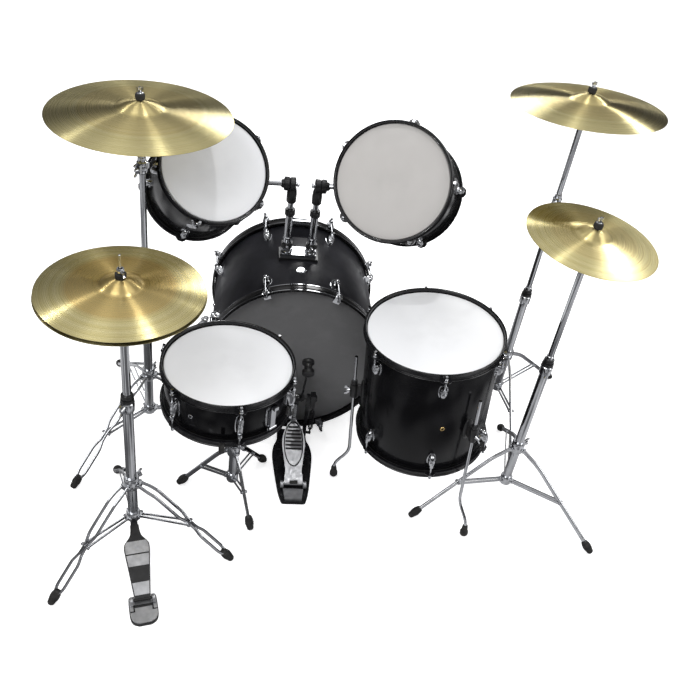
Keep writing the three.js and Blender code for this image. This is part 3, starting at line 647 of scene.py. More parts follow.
def badge(r, z, angle, width=34, height=46):
    """A plain shield-shaped badge."""
    half = [(0.34, -0.3), (0.5, 0.05), (0.5, 0.38), (0.3, 0.5)]
    shield = [(0, -0.5)] + half + [(-x, y) for x, y in half[::-1]]
    outline = [(x * width, y * height) for x, y in shield]
    plate = moved(prism(outline, 0, 1.4, 0.5), spin(90, "Z") @ spin(90, "X"))
    return moved(moved(plate, shift(r - 0.4, 0, z)), spin(angle))


def grommet(r, z, angle):
    """The ringed air vent on a shell."""
    ringed = lathe([(0, -1), (7.5, -1), (7.5, 0.4), (6.6, 1.8), (5, 2), (3.6, 1), (3.4, -0.4), (0, -0.4)], 28)
    return moved(moved(ringed, shift(r, 0, z) @ spin(90, "Y")), spin(angle))


def steel_rim_drum(drum, body, batter="head"):
    """Shell, lugs, hoops, rods and heads of a tom, floor tom or snare."""
    name, r, d = drum["name"], drum["r"], drum["d"]
    place = drum_frame(drum)
    step = 360 / drum["lugs"]
    angles = [drum["first"] + step * i for i in range(drum["lugs"])]
    mirrored = [-a for a in angles]
    h = d / 2
    piece(f"{name}_wrapped_shell", body, "wrap", place, [shell(r, d)], [f"{name}_shell"])
    lug = drum.get("lug", 40)
    if name == "snare":
        ends = tom_lugs(r, -32, 31, angles, 20, 7, 0.5)
        cup = [(0, 0), (6.6, 0), (7, 4), (6.4, 9), (0, 9)]
        cups = turned([moved(lathe(lifted(cup, z), 20), shift(r + ROD_OFFSET)) for z in (24, -33)], angles)
        piece("snare_lug_castings", body, "chrome", place, ends + cups)
        rod_end = 30
    else:
        top = h - 36
        lugs = tom_lugs(r, top - lug, top, angles) + flipped(tom_lugs(r, top - lug, top, mirrored))
        piece(f"{name}_lug_castings", body, "chrome", place, lugs)
        rod_end = top - 2
    piece(f"{name}_batter_film", body, batter, place, [film(r, h)], [f"{name}_batter_head"])
    piece(f"{name}_top_hoop", body, "black", place, steel_hoop(r, h, angles), [f"{name}_batter_hoop"])
    piece(f"{name}_bottom_hoop", body, "black", place, flipped(steel_hoop(r, h, mirrored)),
          [f"{name}_bottom_hoop_and_head"])
    piece(f"{name}_bottom_film", body, "film", place, flipped([film(r, h)]))
    flesh = flesh_hoop(r, h)
    piece(f"{name}_flesh_hoops", body, "knob", place, [flesh] + flipped([flesh]))
    rods = tension_rods(r, h, rod_end, angles) + flipped(tension_rods(r, h, rod_end, mirrored))
    piece(f"{name}_tension_rods", body, "chrome", place, rods)
    return place


def bass_hoop(front):
    """A wooden hoop: flat band with rounded edges."""
    inner, outer, back = BASS_HOOP_IN, BASS_HOOP_OUT, front - BASS_HOOP_WIDTH
    return lathe([(inner, back + 2), (inner + 2, back), (outer - 2.5, back), (outer - 0.6, back + 0.8),
                  (outer, back + 2.5), (outer, front - 2.5), (outer - 0.8, front - 0.7),
                  (outer - 2.6, front), (inner + 2, front), (inner, front - 2)], 144)


def bass_claw(front):
    """A pressed claw over the hoop's edge, with its rod's ear."""
    hook = [(-12, -4), (-10.5, 2), (4, 3.5), (13, 3.5), (15.5, 1), (15.5, -24), (12.5, -26), (10.8, -24),
            (10.6, -2),
            (2, -2), (-8, -4.4), (-9, -9), (-11.4, -9)]
    body = moved(prism(hook, -11, 11, 1.4), shift(BASS_HOOP_IN + 0.5, 0, front + 1.5) @ spin(90, "X"))
    nut = lifted([(0, 1), (8, 1), (8.5, 5), (6.5, 9), (0, 9)], front)
    cup = moved(lathe(nut, 22), shift(BASS_ROD_R))
    ear = moved(dome_block(22, 10, front - 22, front + 5, 0.7), shift(293.5))
    return [body, cup, ear]


def bass_drum():
    """The bass drum with its wooden hoops, claws, lugs, heads, badge and spurs."""
    body = "kit_base"
    place = Matrix.Translation(kit(0, 0, BASS_Z)) @ spin(90, "X")
    r, h = BASS_R, BASS_D / 2
    piece("bass_drum_wrapped_shell", body, "lighter_wrap", place, [shell(r, BASS_D)], ["bass_drum_shell"])
    front = h + 22
    low, high = h - 92, h - 46
    lug = tom_lugs(r, low, high, BASS_LUGS, 27, 0, 0.62)
    collar = rod((BASS_ROD_R, 0, high - 6), (BASS_ROD_R, 0, high + 1), 7, 6)
    swell = moved(dome_block(14, 9, high - 30, high - 2, 0.5), shift(BASS_ROD_R - 5))
    lugs = lug + turned([collar, swell], BASS_LUGS)
    piece("bass_drum_lug_castings", body, "chrome", place, lugs + flipped(lugs))
    handles = turned(t_handle((BASS_ROD_R, 0, high - 4), (BASS_ROD_R, 0, front + 17), 3, 26), BASS_LUGS)
    claws = turned(bass_claw(front), BASS_LUGS)
    inlay = [pipe(BASS_HOOP_OUT - 0.6, BASS_HOOP_OUT + 0.5, front - z - 3, front - z, 144) for z in (2.6,
                                                                                                     32.5)]
    for end, turn in (("batter", list), ("front", flipped)):
        hoop_node, film_node = f"bass_drum_{end}_hoop", f"bass_drum_{end}_head"
        piece(f"bass_drum_{end}_wood_hoop", body, "hoop", place, turn([bass_hoop(front)]), [hoop_node])
        piece(f"bass_drum_{end}_inlay", body, "chrome", place, turn(inlay))
        piece(f"bass_drum_{end}_claws", body, "chrome", place, turn(claws))
        piece(f"bass_drum_{end}_tension_rods", body, "chrome", place, turn(handles))
        piece(f"bass_drum_{end}_film", body, "dark", place, turn([film(r, h)]), [film_node])
        piece(f"bass_drum_{end}_flesh_hoop", body, "knob", place, turn([flesh_hoop(r, h)]))
    shield = moved(badge(0, 0, 0, 32, 34), shift(r, 0, 92))
    piece("bass_drum_badge", body, "chrome", place, [moved(shield, spin(90))])
    bass_spurs(place)


def bass_spurs(place):
    """The two folding legs at the sides of the bass drum and their brackets."""
    angle = math.degrees(math.asin((SPUR["z"] - BASS_Z) / BASS_R))
    bracket = [moved(block(BASS_R - 3, BASS_R + 9, -25, 25, -24, 24, 4), shift(0, 0, -SPUR["y"])),
               rod((BASS_R + 6, 0, -SPUR["y"]), (BASS_R + 16, 0, -SPUR["y"]), 19, 16, 2, 32)]
    piece("bass_drum_spur_brackets", "kit_base", "chrome", place, turned(bracket, [180 - angle, angle]))
    for name, side in (("left", -1), ("right", 1)):
        pivot = Vector((side * (BASS_R + 22), SPUR["y"], SPUR["z"]))
        way = (Vector(SPUR["direction"]) * Vector((side, 1, 1))).normalized()
        length = (pivot.z - 10) / -way.z
        across = Vector((-side * way.z, 0, side * way.x)).normalized()
        m = basis(kit(*pivot), way, across)
        x = 7
        leg = [rod((-4, 0, x), (length - 70, 0, x), 8, 8, 1.5),
               rod((length - 110, 0, x), (length - 14, 0, x), 5.5, 5.5, 1)]
        boss = [rod((0, 0, 0.5), (0, 0, 15), 16, 14, 2, 32), rod((0, 0, 14), (0, 0, 22), 6, 5)]
        clamp = rod((length - 84, 0, x), (length - 62, 0, x), 11, 10, 2)
        piece(f"bass_drum_{name}_spur_leg", f"{name}_spur", "chrome", m, leg + boss,
              [f"bass_drum_{name}_spur"])
        piece(f"bass_drum_{name}_spur_clamp", f"{name}_spur", "knob", m, [clamp])
        foot = rod((length - 26, 0, x), (length, 0, x), 10.5, 8.5, 3)
        piece(f"bass_drum_{name}_spur_foot", f"{name}_spur", "rubber", m, [foot])


def tom_holder():
    """The mount on the bass drum with its two posts, knuckles and arms."""
    base = at(0, 0, 0)
    low = [block(-72, 56, -34, 34, 563, 576, 5)]
    left, right = TOMS[0]["post"], TOMS[1]["post"]
    panes = [block(left + 10, right - 10, -4, 4, 640, 700, 1.5), block(-64, 48, -26, 26, 572, 586, 5)]
    sockets, rings, bolts = [], [], []
    for tom in TOMS:
        foot = [(9.4, 584), (19, 584), (20, 589), (15, 598), (14, 632), (15, 636), (15, SOCKET_TOP - 2),
                (12, SOCKET_TOP), (12, SLEEVE_TOP), (9.4, SLEEVE_TOP)]
        sockets.append(moved(lathe(foot, 40), shift(tom["post"])))
        rings.append(moved(bush(14, 19, 600, 618, 1, 2, 40), shift(tom["post"])))
        bolts += placed(wing_nut(12, 26, 5), shift(tom["post"], -19, 609) @ spin(90, "X"))
    piece("tom_mount_foot", "kit_base", "knob", base, low + rings)
    piece("tom_mount_plate", "kit_base", "chrome", base, panes + sockets, ["tom_mount"])
    piece("tom_mount_wing_bolts", "kit_base", "chrome", base, bolts)
    for tom in TOMS:
        tom_arm(tom, base)


def tom_arm(tom, base):
    """A rack tom's post and knuckle, and the arm with its bracket on the drum."""
    name, x, side = tom["name"], tom["post"], tom["side"]
    post = rod((x, 0, KNUCKLE_Z - 345), (x, 0, KNUCKLE_Z - 20), 9, 9, 1.5, 28)
    piece(f"{name}_post_tube", f"{name}_post", "chrome", base, [post], [f"{name}_post"])
    lock = [moved(bush(9, 16.5, 0, 22, 1.5, 2, 36), shift(x, 0, SLEEVE_TOP + 0.6)),
            block(x - 6, x + 6, -24, -12, SLEEVE_TOP + 4, SLEEVE_TOP + 19, 2.5)]
    yoke = rod((x - side * 10, 0, KNUCKLE_Z), (x + side * 8, 0, KNUCKLE_Z), 22, 21, 2.4, 36)
    stem = [(0, -62), (13, -62), (15.5, -58), (16, -34), (15, -20), (12, -10), (0, -8)]
    neck = moved(lathe(stem, 32), shift(x, 0, KNUCKLE_Z))
    bolt = t_handle((x - side * 6, 0, KNUCKLE_Z), (x - side * 17, 0, KNUCKLE_Z), 4, 24)
    piece(f"{name}_post_knuckle", f"{name}_post", "knob", base, lock + [yoke, neck])
    piece(f"{name}_knuckle_bolt", f"{name}_post", "chrome", base, bolt)
    place = drum_frame(tom)
    inverse = place.inverted()
    knuckle = inverse @ kit(x + side * ARM_OFFSET, 0, KNUCKLE_Z) * 1000
    reach, z = knuckle.x, knuckle.z
    tip = inverse.to_3x3() @ Vector((side, 0, 0))
    half = rod(knuckle - tip * 7.2, knuckle + tip * 11, 21.5, 20, 2.4, 36)
    ribs = placed(turned([block(-1.6, 1.6, 6, 21.8, -5, 9, 0.6)], range(0, 360, 30)),
                  along(knuckle, knuckle + tip))
    sleeve = rod((reach + 4, 0, z), (reach - 20, 0, z), 16, 13, 3, 28)
    piece(f"{name}_arm_knuckle", f"{name}_arm", "knob", place, [half, sleeve] + ribs)
    bar = rod((reach - 20, 0, z), (tom["r"] - 44, 0, z), 8, 8, 1.5, 28)
    piece(f"{name}_arm_rod", f"{name}_arm", "chrome", place, [bar], [f"{name}_arm"])
    r = tom["r"]
    plate = moved(dome_block(46, 9, z - 34, z + 34, 0.5), shift(r - 1))
    flared = [(8.3, 0), (17, 0), (17.5, 3), (15, 15), (13, 25), (8.3, 25)]
    eye = moved(lathe(flared, 32), shift(r - 2, 0, z) @ spin(90, "Y"))
    nut = placed(wing_nut(12, 26, 5), shift(r + 16, 0, z + 12))
    collar = moved(bush(8.3, 13, 0, 13.5, 1, 1.5, 32), shift(r + 23.5, 0, z) @ spin(90, "Y"))
    piece(f"{name}_bracket", name, "chrome", place, [plate, eye] + nut)
    piece(f"{name}_rod_lock", name, "knob", place, [collar])
    piece(f"{name}_badge", name, "chrome", place, [badge(r, 8, -108, 30, 40)])


def floor_tom():
    """The floor tom with its leg brackets and its three bent legs."""
    place = steel_rim_drum(dict(FLOOR_TOM, lug=42), "kit_base")
    r = FLOOR_TOM["r"]
    leg_at, foot_at = r + 27, r + 73
    back = moved(dome_block(34, 8, -72, 2, 0.5), shift(r - 1))
    clamp = moved(bush(5.6, 12, -60, -10, 1.5, 4), shift(leg_at))
    web = block(r + 2, leg_at - 6, -7, 7, -54, -16, 2)
    wings = placed(wing_nut(13, 30, 6), shift(leg_at + 12, 0, -35) @ spin(90, "Y"))
    piece("floor_tom_leg_brackets", "kit_base", "knob", place, turned([back, clamp, web], FLOOR_LEGS))
    piece("floor_tom_leg_wing_bolts", "kit_base", "chrome", place, turned(wings, FLOOR_LEGS))
    piece("floor_tom_grommet", "kit_base", "brass", place, [grommet(r, -10, -86)])
    down = place.to_3x3() @ Vector((0, 0, -1))
    foot = [(0, -8), (11, -7.4), (13, -4), (13, 6), (10.5, 13), (9, 20), (9.6, 21), (8.4, 26), (9, 27),
            (7.6, 34), (0, 35)]
    for i, angle in enumerate(FLOOR_LEGS):
        clamp_at = place @ (spin(angle) @ Vector((leg_at / 1000, 0, 0)))
        floor = (clamp_at.z * 1000 - 8) / down.z
        path = [(leg_at, 0, 96), (leg_at, 0, floor + 112), (foot_at, 0, floor + 58), (foot_at, 0, floor + 10)]
        body = f"floor_tom_leg_{i + 1}"
        bent = moved(tube(path, 5, 26, 18), spin(angle))
        collar = moved(bush(5, 10, 0, 12.5, 1, 1.5, 24), spin(angle) @ shift(leg_at, 0, -9.2))
        tip = moved(lathe(foot, 28), spin(angle) @ shift(foot_at, 0, floor + 8.6))
        piece(f"{body}_rod", body, "chrome", place, [bent], [body])
        piece(f"{body}_lock", body, "knob", place, [collar])
        piece(f"{body}_foot", body, "rubber", place, [tip])


def snare_drum():
    """The snare drum with its strainer, lever and wires."""
    place = steel_rim_drum(SNARE, "snare_drum")
    r, h = SNARE["r"], SNARE["d"] / 2
    throw = placed([dome_block(34, 9, -48, 36, 0.5)], spin(STRAINER) @ shift(r - 1))
    throw += turned([block(r + 2, r + 9, -13, 13, -44, 26, 2.5)], [STRAINER])
    knob = moved(bush(0, 8, 30, 44, 1, 2), spin(STRAINER) @ shift(r + 3))
    butt = turned([block(r - 2, r + 12, -17, 17, -54, -18, 4), block(r + 8, r + 17, -13, 13, -46, -28, 3)],
                  [STRAINER + 180])
    piece("snare_strainer", "snare_drum", "chrome", place, throw + butt)
    piece("snare_strainer_knob", "snare_drum", "knob", place, [knob])
    lever_at = place @ spin(STRAINER)
    x = r + 9.3
    lever = [block(x, x + 5, -8.5, 8.5, -37, 40, 1.6), block(x, x + 15, -7, 7, 33, 44, 2.4),
             rod((x + 4, -13, -36), (x + 4, 13, -36), 4.2)]
    piece("snare_lever_casting", "snare_throw_off", "chrome", lever_at, lever, ["snare_throw_off_lever"])
    wires = []
    for i in range(SNARE_WIRES):
        y = -20 + i * 40 / (SNARE_WIRES - 1)
        wires.append(coil((-r + 30, y, -h - 3.2), (r - 30, y, -h - 3.2), 0.9, 0.35, 90, 4))
    ends = [block(e * (r - 24) - 8, e * (r - 24) + 8, -22, 22, -h - 4.4, -h - 2.2, 0.6) for e in (-1, 1)]
    straps = [block(e * (r - 10) - 10, e * (r - 10) + 14, -16, 16, -h - 3.6, -h - 3, 0) for e in (-1, 1)]
    piece("snare_coil_wires", "snare_drum", "steel", lever_at, wires + ends, ["snare_wires"])
    piece("snare_straps", "snare_drum", "knob", lever_at, straps)
    piece("snare_grommet", "snare_drum", "chrome", place, [grommet(r, 0, -122)])


# ---- stands -----------------------------------------------------------------------
def on_leg(knee, end, share):
    """X and Z of the point at this share of the way from the knee to the foot."""
    return knee[0] + share * (end[0] - knee[0]), knee[2] + share * (end[2] - knee[2])


def double_leg(tube_r, up, low, knee, end):
    """A leg of two bars that meet twice, and its two braces, along X."""
    waist = [(-0.02, 12.5), (0.30, 12.5), (0.40, 4.2), (0.50, 4.2), (0.59, 12.5), (0.84, 12.5), (0.93, 4.6),
             (0.97, 4.6)]
    brace_x, brace_z = on_leg(knee, end, BRACE_SHARE)
    bars = []
    for e in (-1, 1):
        path = [(tube_r + 6, e * 8, up - 1), ((tube_r + knee[0]) / 2 + 5, e * 12.5, (up + knee[2]) / 2)]
        for share, y in waist:
            x, z = on_leg(knee, end, share)
            path.append((x, e * y, z))
        bars.append(sweep(rounded_path(path, 9), oval(5.4, 10.5), (0, 1, 0)))
        bars.append(sweep([(tube_r + 5, e * 5, low + 2), (brace_x, e * 9, brace_z)], oval(3.6, 10),
                          (0, 1, 0)))
    return bars


def single_leg(tube_r, up, low, knee, end):
    """A leg of one bar, and its two braces, along X."""
    x, z = on_leg(knee, end, 0.93)
    brace_x, brace_z = on_leg(knee, end, BRACE_SHARE)
    path = [(tube_r + 5, 0, up - 2), (knee[0], 0, knee[2]), (x, 0, z)]
    bars = [sweep(rounded_path(path, 26), oval(8.5, 14.5), (0, 1, 0))]
    for e in (-1, 1):
        bars.append(sweep([(tube_r + 5, e * 5.6, low + 2), (brace_x, e * 6, brace_z)], oval(2.6, 11),
                          (0, 1, 0)))
    return bars


def leg_foot(knee, end):
    """A ribbed rubber foot, flat where it stands on the floor."""
    slope = Vector((end[0] - knee[0], 0, end[2] - knee[2])).normalized()
    grip = [(0, 0), (8.6, 0), (9.6, 1.5)]
    for i in range(6):
        swell = 3.2 * math.sin(math.pi * (i + 0.6) / 6.4)
        grip += lifted([(9.4, 4), (10.8, 6), (9.4, 8)], i * 5, swell)
    grip += [(10.6, 36), (9.6, 41), (6, 44.5), (0, 45)]
    points, faces = moved(lathe(grip, 32), along(Vector(end) - slope * 40, Vector(end)))
    return [(x, y, max(z, 0.0)) for x, y, z in points], faces


def tripod_pieces(s, body, place, nodes):
    """Lower tube, hub castings, legs with their braces and rubber feet."""
    tube_r, wing_angle = s.get("tube_r", LOWER_PIPE_R), s.get("wing", -110)
    up, low, top, name = s["hub_up"], s["hub_low"], s["tube_top"], s["name"]
    angles = [s["first"] + 120 * i for i in range(3)]
    knee, end = (tube_r + 0.22 * (s["foot"] - tube_r), 0, up - 0.13 * up), (s["foot"], 0, FOOT_R)
    piece(f"{name}_lower_tube", body, "chrome", place, [pipe(tube_r - 2, tube_r, low - 14, top - 8, 40)],
          nodes)
    build, half = (double_leg, 12.5) if s["legs"] == "double" else (single_leg, 8)
    pins = []
    for x, z in ((tube_r + 7, up - 2), on_leg(knee, end, BRACE_SHARE), (tube_r + 6, low + 2)):
        pins.append(rod((x, -half, z), (x, half, z), 3.2, chamfer=0.8, sides=16))
        pins += [rod((x, e * half, z), (x, e * (half + 2.5), z), 5, 4, 1, 16) for e in (-1, 1)]
    piece(f"{name}_leg_bars", body, "chrome", place, turned(build(tube_r, up, low, knee, end), angles))
    piece(f"{name}_leg_pins", body, "chrome", place, turned(pins, angles))
    piece(f"{name}_leg_feet", body, "rubber", place, turned([leg_foot(knee, end)], angles))
    lugs = [prism([(tube_r - 1, 2 - half), (tube_r + 14, 4 - half), (tube_r + 14, half - 4),
                   (tube_r - 1, half - 2)], up - 12, up + 6, 2.5),
            prism([(tube_r - 1, -6), (tube_r + 12, -5), (tube_r + 12, 5), (tube_r - 1, 6)], low - 5, low + 8,
                  2)]
    high_hub = [(0, -18), (5, -18), (6.5, -15), (6.5, 20), (4, 24), (0, 24)]
    low_hub = [(0, -16), (3.5, -16), (5, -13), (5, 13), (3, 16), (0, 16)]
    hubs = [lathe(lifted(high_hub, up, tube_r), 40), lathe(lifted(low_hub, low, tube_r), 40)]
    piece(f"{name}_hub_castings", body, "chrome", place, hubs + turned(lugs, angles))
    hub_wing = spin(s["first"] + 60) @ shift(tube_r + 6, 0, up + 14) @ spin(90, "Y")
    tube_wing = spin(wing_angle) @ shift(tube_r + 7, 0, top - 18) @ spin(90, "Y")
    wings = placed(wing_nut(13, 28, 6), hub_wing) + placed(wing_nut(15, 36, 7), tube_wing)
    piece(f"{name}_tube_wing_bolts", body, "chrome", place, wings)
    band = [(-1, -44), (1.5, -44), (4, -40), (4.4, -14), (2, -11), (-1, -11)]
    ear = moved(block(tube_r + 1, tube_r + 12, -8, 8, top - 34, top - 14, 3), spin(wing_angle))
    piece(f"{name}_tube_clamp", body, "chrome", place, [lathe(lifted(band, top, tube_r), 40), ear])
    lip = [(-2.4, -12), (3, -12), (3.8, -10), (3, -1), (-2.4, -0.5)]
    piece(f"{name}_tube_bush", body, "knob", place, [lathe(lifted(lip, top, tube_r), 40)])


def bell_top(r):
    """Height of a cymbal's bell over its edge."""
    return r * BOW_RISE + BELL_RISE


def cymbal_shape(r, hole):
    """Edge plane at Z = 0: a shallow bow, a flared bell foot and a thin rolled edge."""
    bell, bow, skin = r * 0.25, r * BOW_RISE, 1.3
    top = []
    for i in range(25):
        t = i / 24
        x = r + (bell * 1.06 - r) * t
        top.append((x, bow * (1 - ((x - bell) / (r - bell)) ** 1.75) if x > bell else bow))
    for i in range(1, 15):
        t = i / 14
        x = bell + (hole - bell) * t
        u = 1 - (x - hole) / (bell - hole)
        top.append((x, bow + BELL_RISE * math.sin(u * math.pi / 2) ** 0.85))
    under = [(x, z - skin) for x, z in top[::-1]]
    under[-1] = (r - 0.15, -0.75)
    return lathe(top + under, 144)


def cymbal_hardware(holder, body, place, z):
    """Washer, sleeve, felts and wing nut round a cymbal's hole at height z."""
    plate = [(3.6, -19), (13, -19), (14, -18), (14, -16.5), (3.6, -16.5)]
    cone = [(3.6, -16.5), (10, -16.5), (11.5, -12), (11.5, -8), (9, -3.8), (3.6, -3.8)]
    cup = [(5.4, 2.2), (9.5, 2.2), (12.6, 4.8), (12.8, 15), (11, 19), (5.4, 19)]
    disc = [(3.6, 19.2), (8, 19.2), (8.4, 20.2), (7, 21.4), (3.6, 21.6)]
    lower, seat, upper, cap = [lathe(lifted(profile, z), 32) for profile in (plate, cone, cup, disc)]
    sleeve = pipe(3.6, 5.4, z - 16, z + 14, 24)
    wings = placed(wing_nut(8, 19, 4), spin(25) @ shift(z=z + 21.8))
    piece(f"{holder}_felts", body, "felt", place, [seat])
    piece(f"{holder}_cup", body, "rubber", place, [upper])
    piece(f"{holder}_sleeve", body, "knob", place, [sleeve])
    piece(f"{holder}_washers_and_nut", body, "chrome", place, [lower, cap] + wings)


def ratchet(x0, x1, teeth=24, r=14.5):
    """Half of a toothed tilter joint, its face at x1."""
    drum = rod((x0, 0, 0), (x1, 0, 0), r, r - 0.4, 1.2, 36)
    tooth = block(min(x0, x1) + 1, max(x0, x1) - 1, -0.9, 0.9, r - 1.2, r + 0.5, 0.3)
    return [drum] + [moved(tooth, spin(360 / teeth * i, "X")) for i in range(teeth)]


def middle_clamp(name, body, place, z):
    """The winged clamp where a stand's middle and top tubes meet."""
    band = [(8.9, -22), (13, -22), (15, -18), (15, -4), (13.5, 0), (15, 4), (15, 10), (12, 13), (8.9, 13)]
    clamp = [lathe(lifted(band, z), 36), moved(block(11, 24, -8, 8, z - 16, z + 9, 2.4), spin(-115)),
             moved(block(11, 21, -6, 6, z - 14, z + 4, 2.4), spin(55))]
    wings = placed(wing_nut(12, 36, 6), spin(-115) @ shift(23, 0, z - 4) @ spin(90, "Y"))
    piece(f"{name}_middle_clamp", body, "chrome", place, clamp + wings)
    sleeve = lifted([(8.9, 13.2), (11.6, 13.2), (12.2, 15), (11.4, 24), (8.9, 25)], z)
    piece(f"{name}_middle_bush", body, "chrome", place, [lathe(sleeve, 36)])


def cymbal_stand(c):
    """A cymbal stand from its tripod to its cymbal."""
    name, place, r = c["name"], at(c["x"], c["y"], 0), c["r"]
    tripod = dict(c, name=f"{name}_stand", hub_up=HUB_UP, hub_low=HUB_LOW)
    tripod_pieces(tripod, "kit_base", place, [f"{name}_tripod"])
    hole, top = c["edge"] + bell_top(r), c["tube_top"]
    pivot = hole - PIVOT_DROP
    body = f"{name}_upper_tube"
    pipes = [rod((0, 0, top - 158), (0, 0, top + 24), MIDDLE_PIPE_R, MIDDLE_PIPE_R, 1, 36),
             rod((0, 0, top + 10), (0, 0, pivot - 18), UPPER_PIPE_R, UPPER_PIPE_R, 1, 36)]
    piece(f"{name}_upper_pipe", body, "chrome", place, pipes, [body])
    lock = lathe(lifted([(9, 0.6), (14, 0.6), (15, 2.5), (15, 11), (13.5, 13), (9, 13)], top), 36)
    key = moved(block(13, 21, -5, 5, top + 2, top + 12, 2), spin(60))
    piece(f"{name}_memory_lock", body, "knob", place, [lock, key])
    if "clamp" in c:
        middle_clamp(name, body, place, c["clamp"])
    tilt_at = place @ shift(z=pivot / 1000)
    neck = lathe([(0, -30), (12, -30), (13, -28), (12.5, -16), (9, -9), (0, -8)], 30)
    piece(f"{name}_tilter_base", body, "chrome", tilt_at,
          ratchet(-10, -0.3) + [neck, rod((-9, 0, 0), (-14, 0, 0), 8, 6.5, 1.5)])
    head = lathe([(0, 8), (8, 9), (9, 14), (8.4, 26), (9.4, 28), (9.4, 33), (7, 37), (0, 37)], 28)
    post = rod((0, 0, 30), (0, 0, 98), TILTER_ROD_R, TILTER_ROD_R, 0.8, 18)
    wings = placed(wing_nut(14, 34, 7), shift(10) @ spin(90, "Y"))
    tilter = f"{name}_tilter"
    piece(f"{name}_tilter_post", tilter, "chrome", tilt_at,
          ratchet(0.5, 10) + [moved(head, shift(2)), post] + wings, [tilter])
    cymbal_hardware(name, tilter, tilt_at, PIVOT_DROP)
    lean, tip = spin(c["lean"][0], "Y"), spin(c["lean"][1], "X")
    seat = at(c["x"], c["y"], hole) @ tip @ lean @ shift(z=-bell_top(r) / 1000)
    plate = f"{name}_cymbal"
    metal = (bronze(r / 1000, f"{name}_bronze"), "cymbal_bronze")
    piece(f"{name}_plate", plate, metal, seat, [cymbal_shape(r, 6.5)], [plate])


def hihat():
    """The hi-hat's stand, its two cymbals, clutch and pedal."""
    h = HIHAT
    place, r = at(h["x"], h["y"], 0), h["r"]
    tripod_pieces(dict(h, name="hihat_stand"), "kit_base", place, ["hihat_tripod"])
    low_edge, top = h["edge"] - h["gap"], h["tube_top"]
    seat, bell = low_edge - bell_top(r) - 3, h["edge"] + bell_top(r)
    tube = pipe(8.5, MIDDLE_PIPE_R, top - 178, seat - 26)
    cup = [(5.4, -36), (13, -36), (14.5, -33), (16, -16), (22, -8), (22.5, -5), (20, -4.4), (5.4, -4.4)]
    piece("hihat_upper_pipe", "kit_base", "chrome", place, [tube, lathe(lifted(cup, seat), 40)],
          ["hihat_upper_tube"])
    lock = lifted([(11, 0.6), (15, 0.6), (16, 2), (16, 10), (15, 12), (11, 12)], top)
    piece("hihat_memory_lock", "kit_base", "knob", place, [lathe(lock, 36)])
    pad = lifted([(5.6, -4.2), (19, -4.2), (20, -2), (19, 1.4), (5.6, 1.4)], seat)
    piece("hihat_seat_felt", "kit_base", "felt", place, [lathe(pad, 40)])
    metal = (bronze(r / 1000, "hihat_bronze", 0.85), "cymbal_bronze")
    lower = at(h["x"], h["y"], low_edge) @ spin(180, "X")
    piece("hihat_lower_plate", "kit_base", metal, lower, [cymbal_shape(r + 2, 8)], ["hihat_bottom_cymbal"])
    upper = at(h["x"], h["y"], h["edge"])
    piece("hihat_upper_plate", "hihat_top", metal, upper, [cymbal_shape(r, 8)], ["hihat_top_cymbal"])
    pull = rod((0, 0, 116), (0, 0, bell + 61), 3, 3, 0.8, 18)
    piece("hihat_pull_bar", "hihat_rod", "chrome", place, [pull], ["hihat_pull_rod"])
    hihat_clutch(place, bell)
    hihat_pedal(place @ spin(h["pedal"]))


def hihat_clutch(place, bell):
    """The clutch that holds the upper cymbal to the rod, its bell at this height."""
    body = "hihat_top"
    collar = [(5.4, 13), (8, 13), (8.6, 14.5), (8.6, 24), (7.4, 26), (3.4, 26)]
    nut = [(5.4, -14), (11, -14), (11.6, -12.5), (11, -9), (5.4, -9)]
    clutch = [pipe(3.4, 5.5, bell - 12, bell + 26, 28), lathe(lifted(collar, bell), 32),
              lathe(lifted(nut, bell), 32)]
    piece("hihat_clutch_body", body, "chrome", place, clutch, ["hihat_clutch"])
    screw = placed(wing_nut(9, 20, 4), spin(-60) @ shift(8, 0, bell + 20) @ spin(90, "Y"))
    piece("hihat_clutch_screw", body, "chrome", place, screw)
    pad = [(5.6, 0), (12, 0), (13, 1.4), (13, 5.2), (12, 6.4), (5.6, 6.4)]
    pads = [lathe(lifted(pad, bell + z), 32) for z in (0.6, 6.4, -8.6)]
    piece("hihat_clutch_felts", body, "rubber", place, pads)


def smoothed(side, steps=5):
    """A smooth edge through (position, half-width) stations."""
    pts = []
    for i in range(len(side) - 1):
        p = [side[max(i - 1, 0)], side[i], side[i + 1], side[min(i + 2, len(side) - 1)]]
        for k in range(steps):
            t = k / steps
            weights = (-t + 2 * t**2 - t**3, 2 - 5 * t**2 + 3 * t**3, t + 4 * t**2 - 3 * t**3, t**3 - t**2)
            pts.append(tuple(sum(w * q[a] for w, q in zip(weights, p)) / 2 for a in range(2)))
    return pts + [side[-1]]


def shifted(edge, start):
    """An edge's stations moved along by start."""
    return [(y + start, w) for y, w in edge]


def both_sides(edge):
    """A closed outline along Y from (position, half-width) pairs."""
    return [(w, y) for y, w in edge] + [(-w, y) for y, w in reversed(edge)]


def half_width(edge, y):
    """The edge's half-width at y."""
    for (y0, w0), (y1, w1) in zip(edge, edge[1:]):
        if y0 <= y <= y1:
            return w0 + (w1 - w0) * (y - y0) / max(y1 - y0, 1e-6)
    return edge[-1][1]


def panel(edge, start, end, inset, low, high, bevel=0.8):
    """A flat plate that follows the board's sides from start to end, set in by inset."""
    rows = [start + (end - start) * i / 14 for i in range(15)]
    return prism(both_sides([(y, half_width(edge, y) - inset) for y in rows]), low, high, bevel)


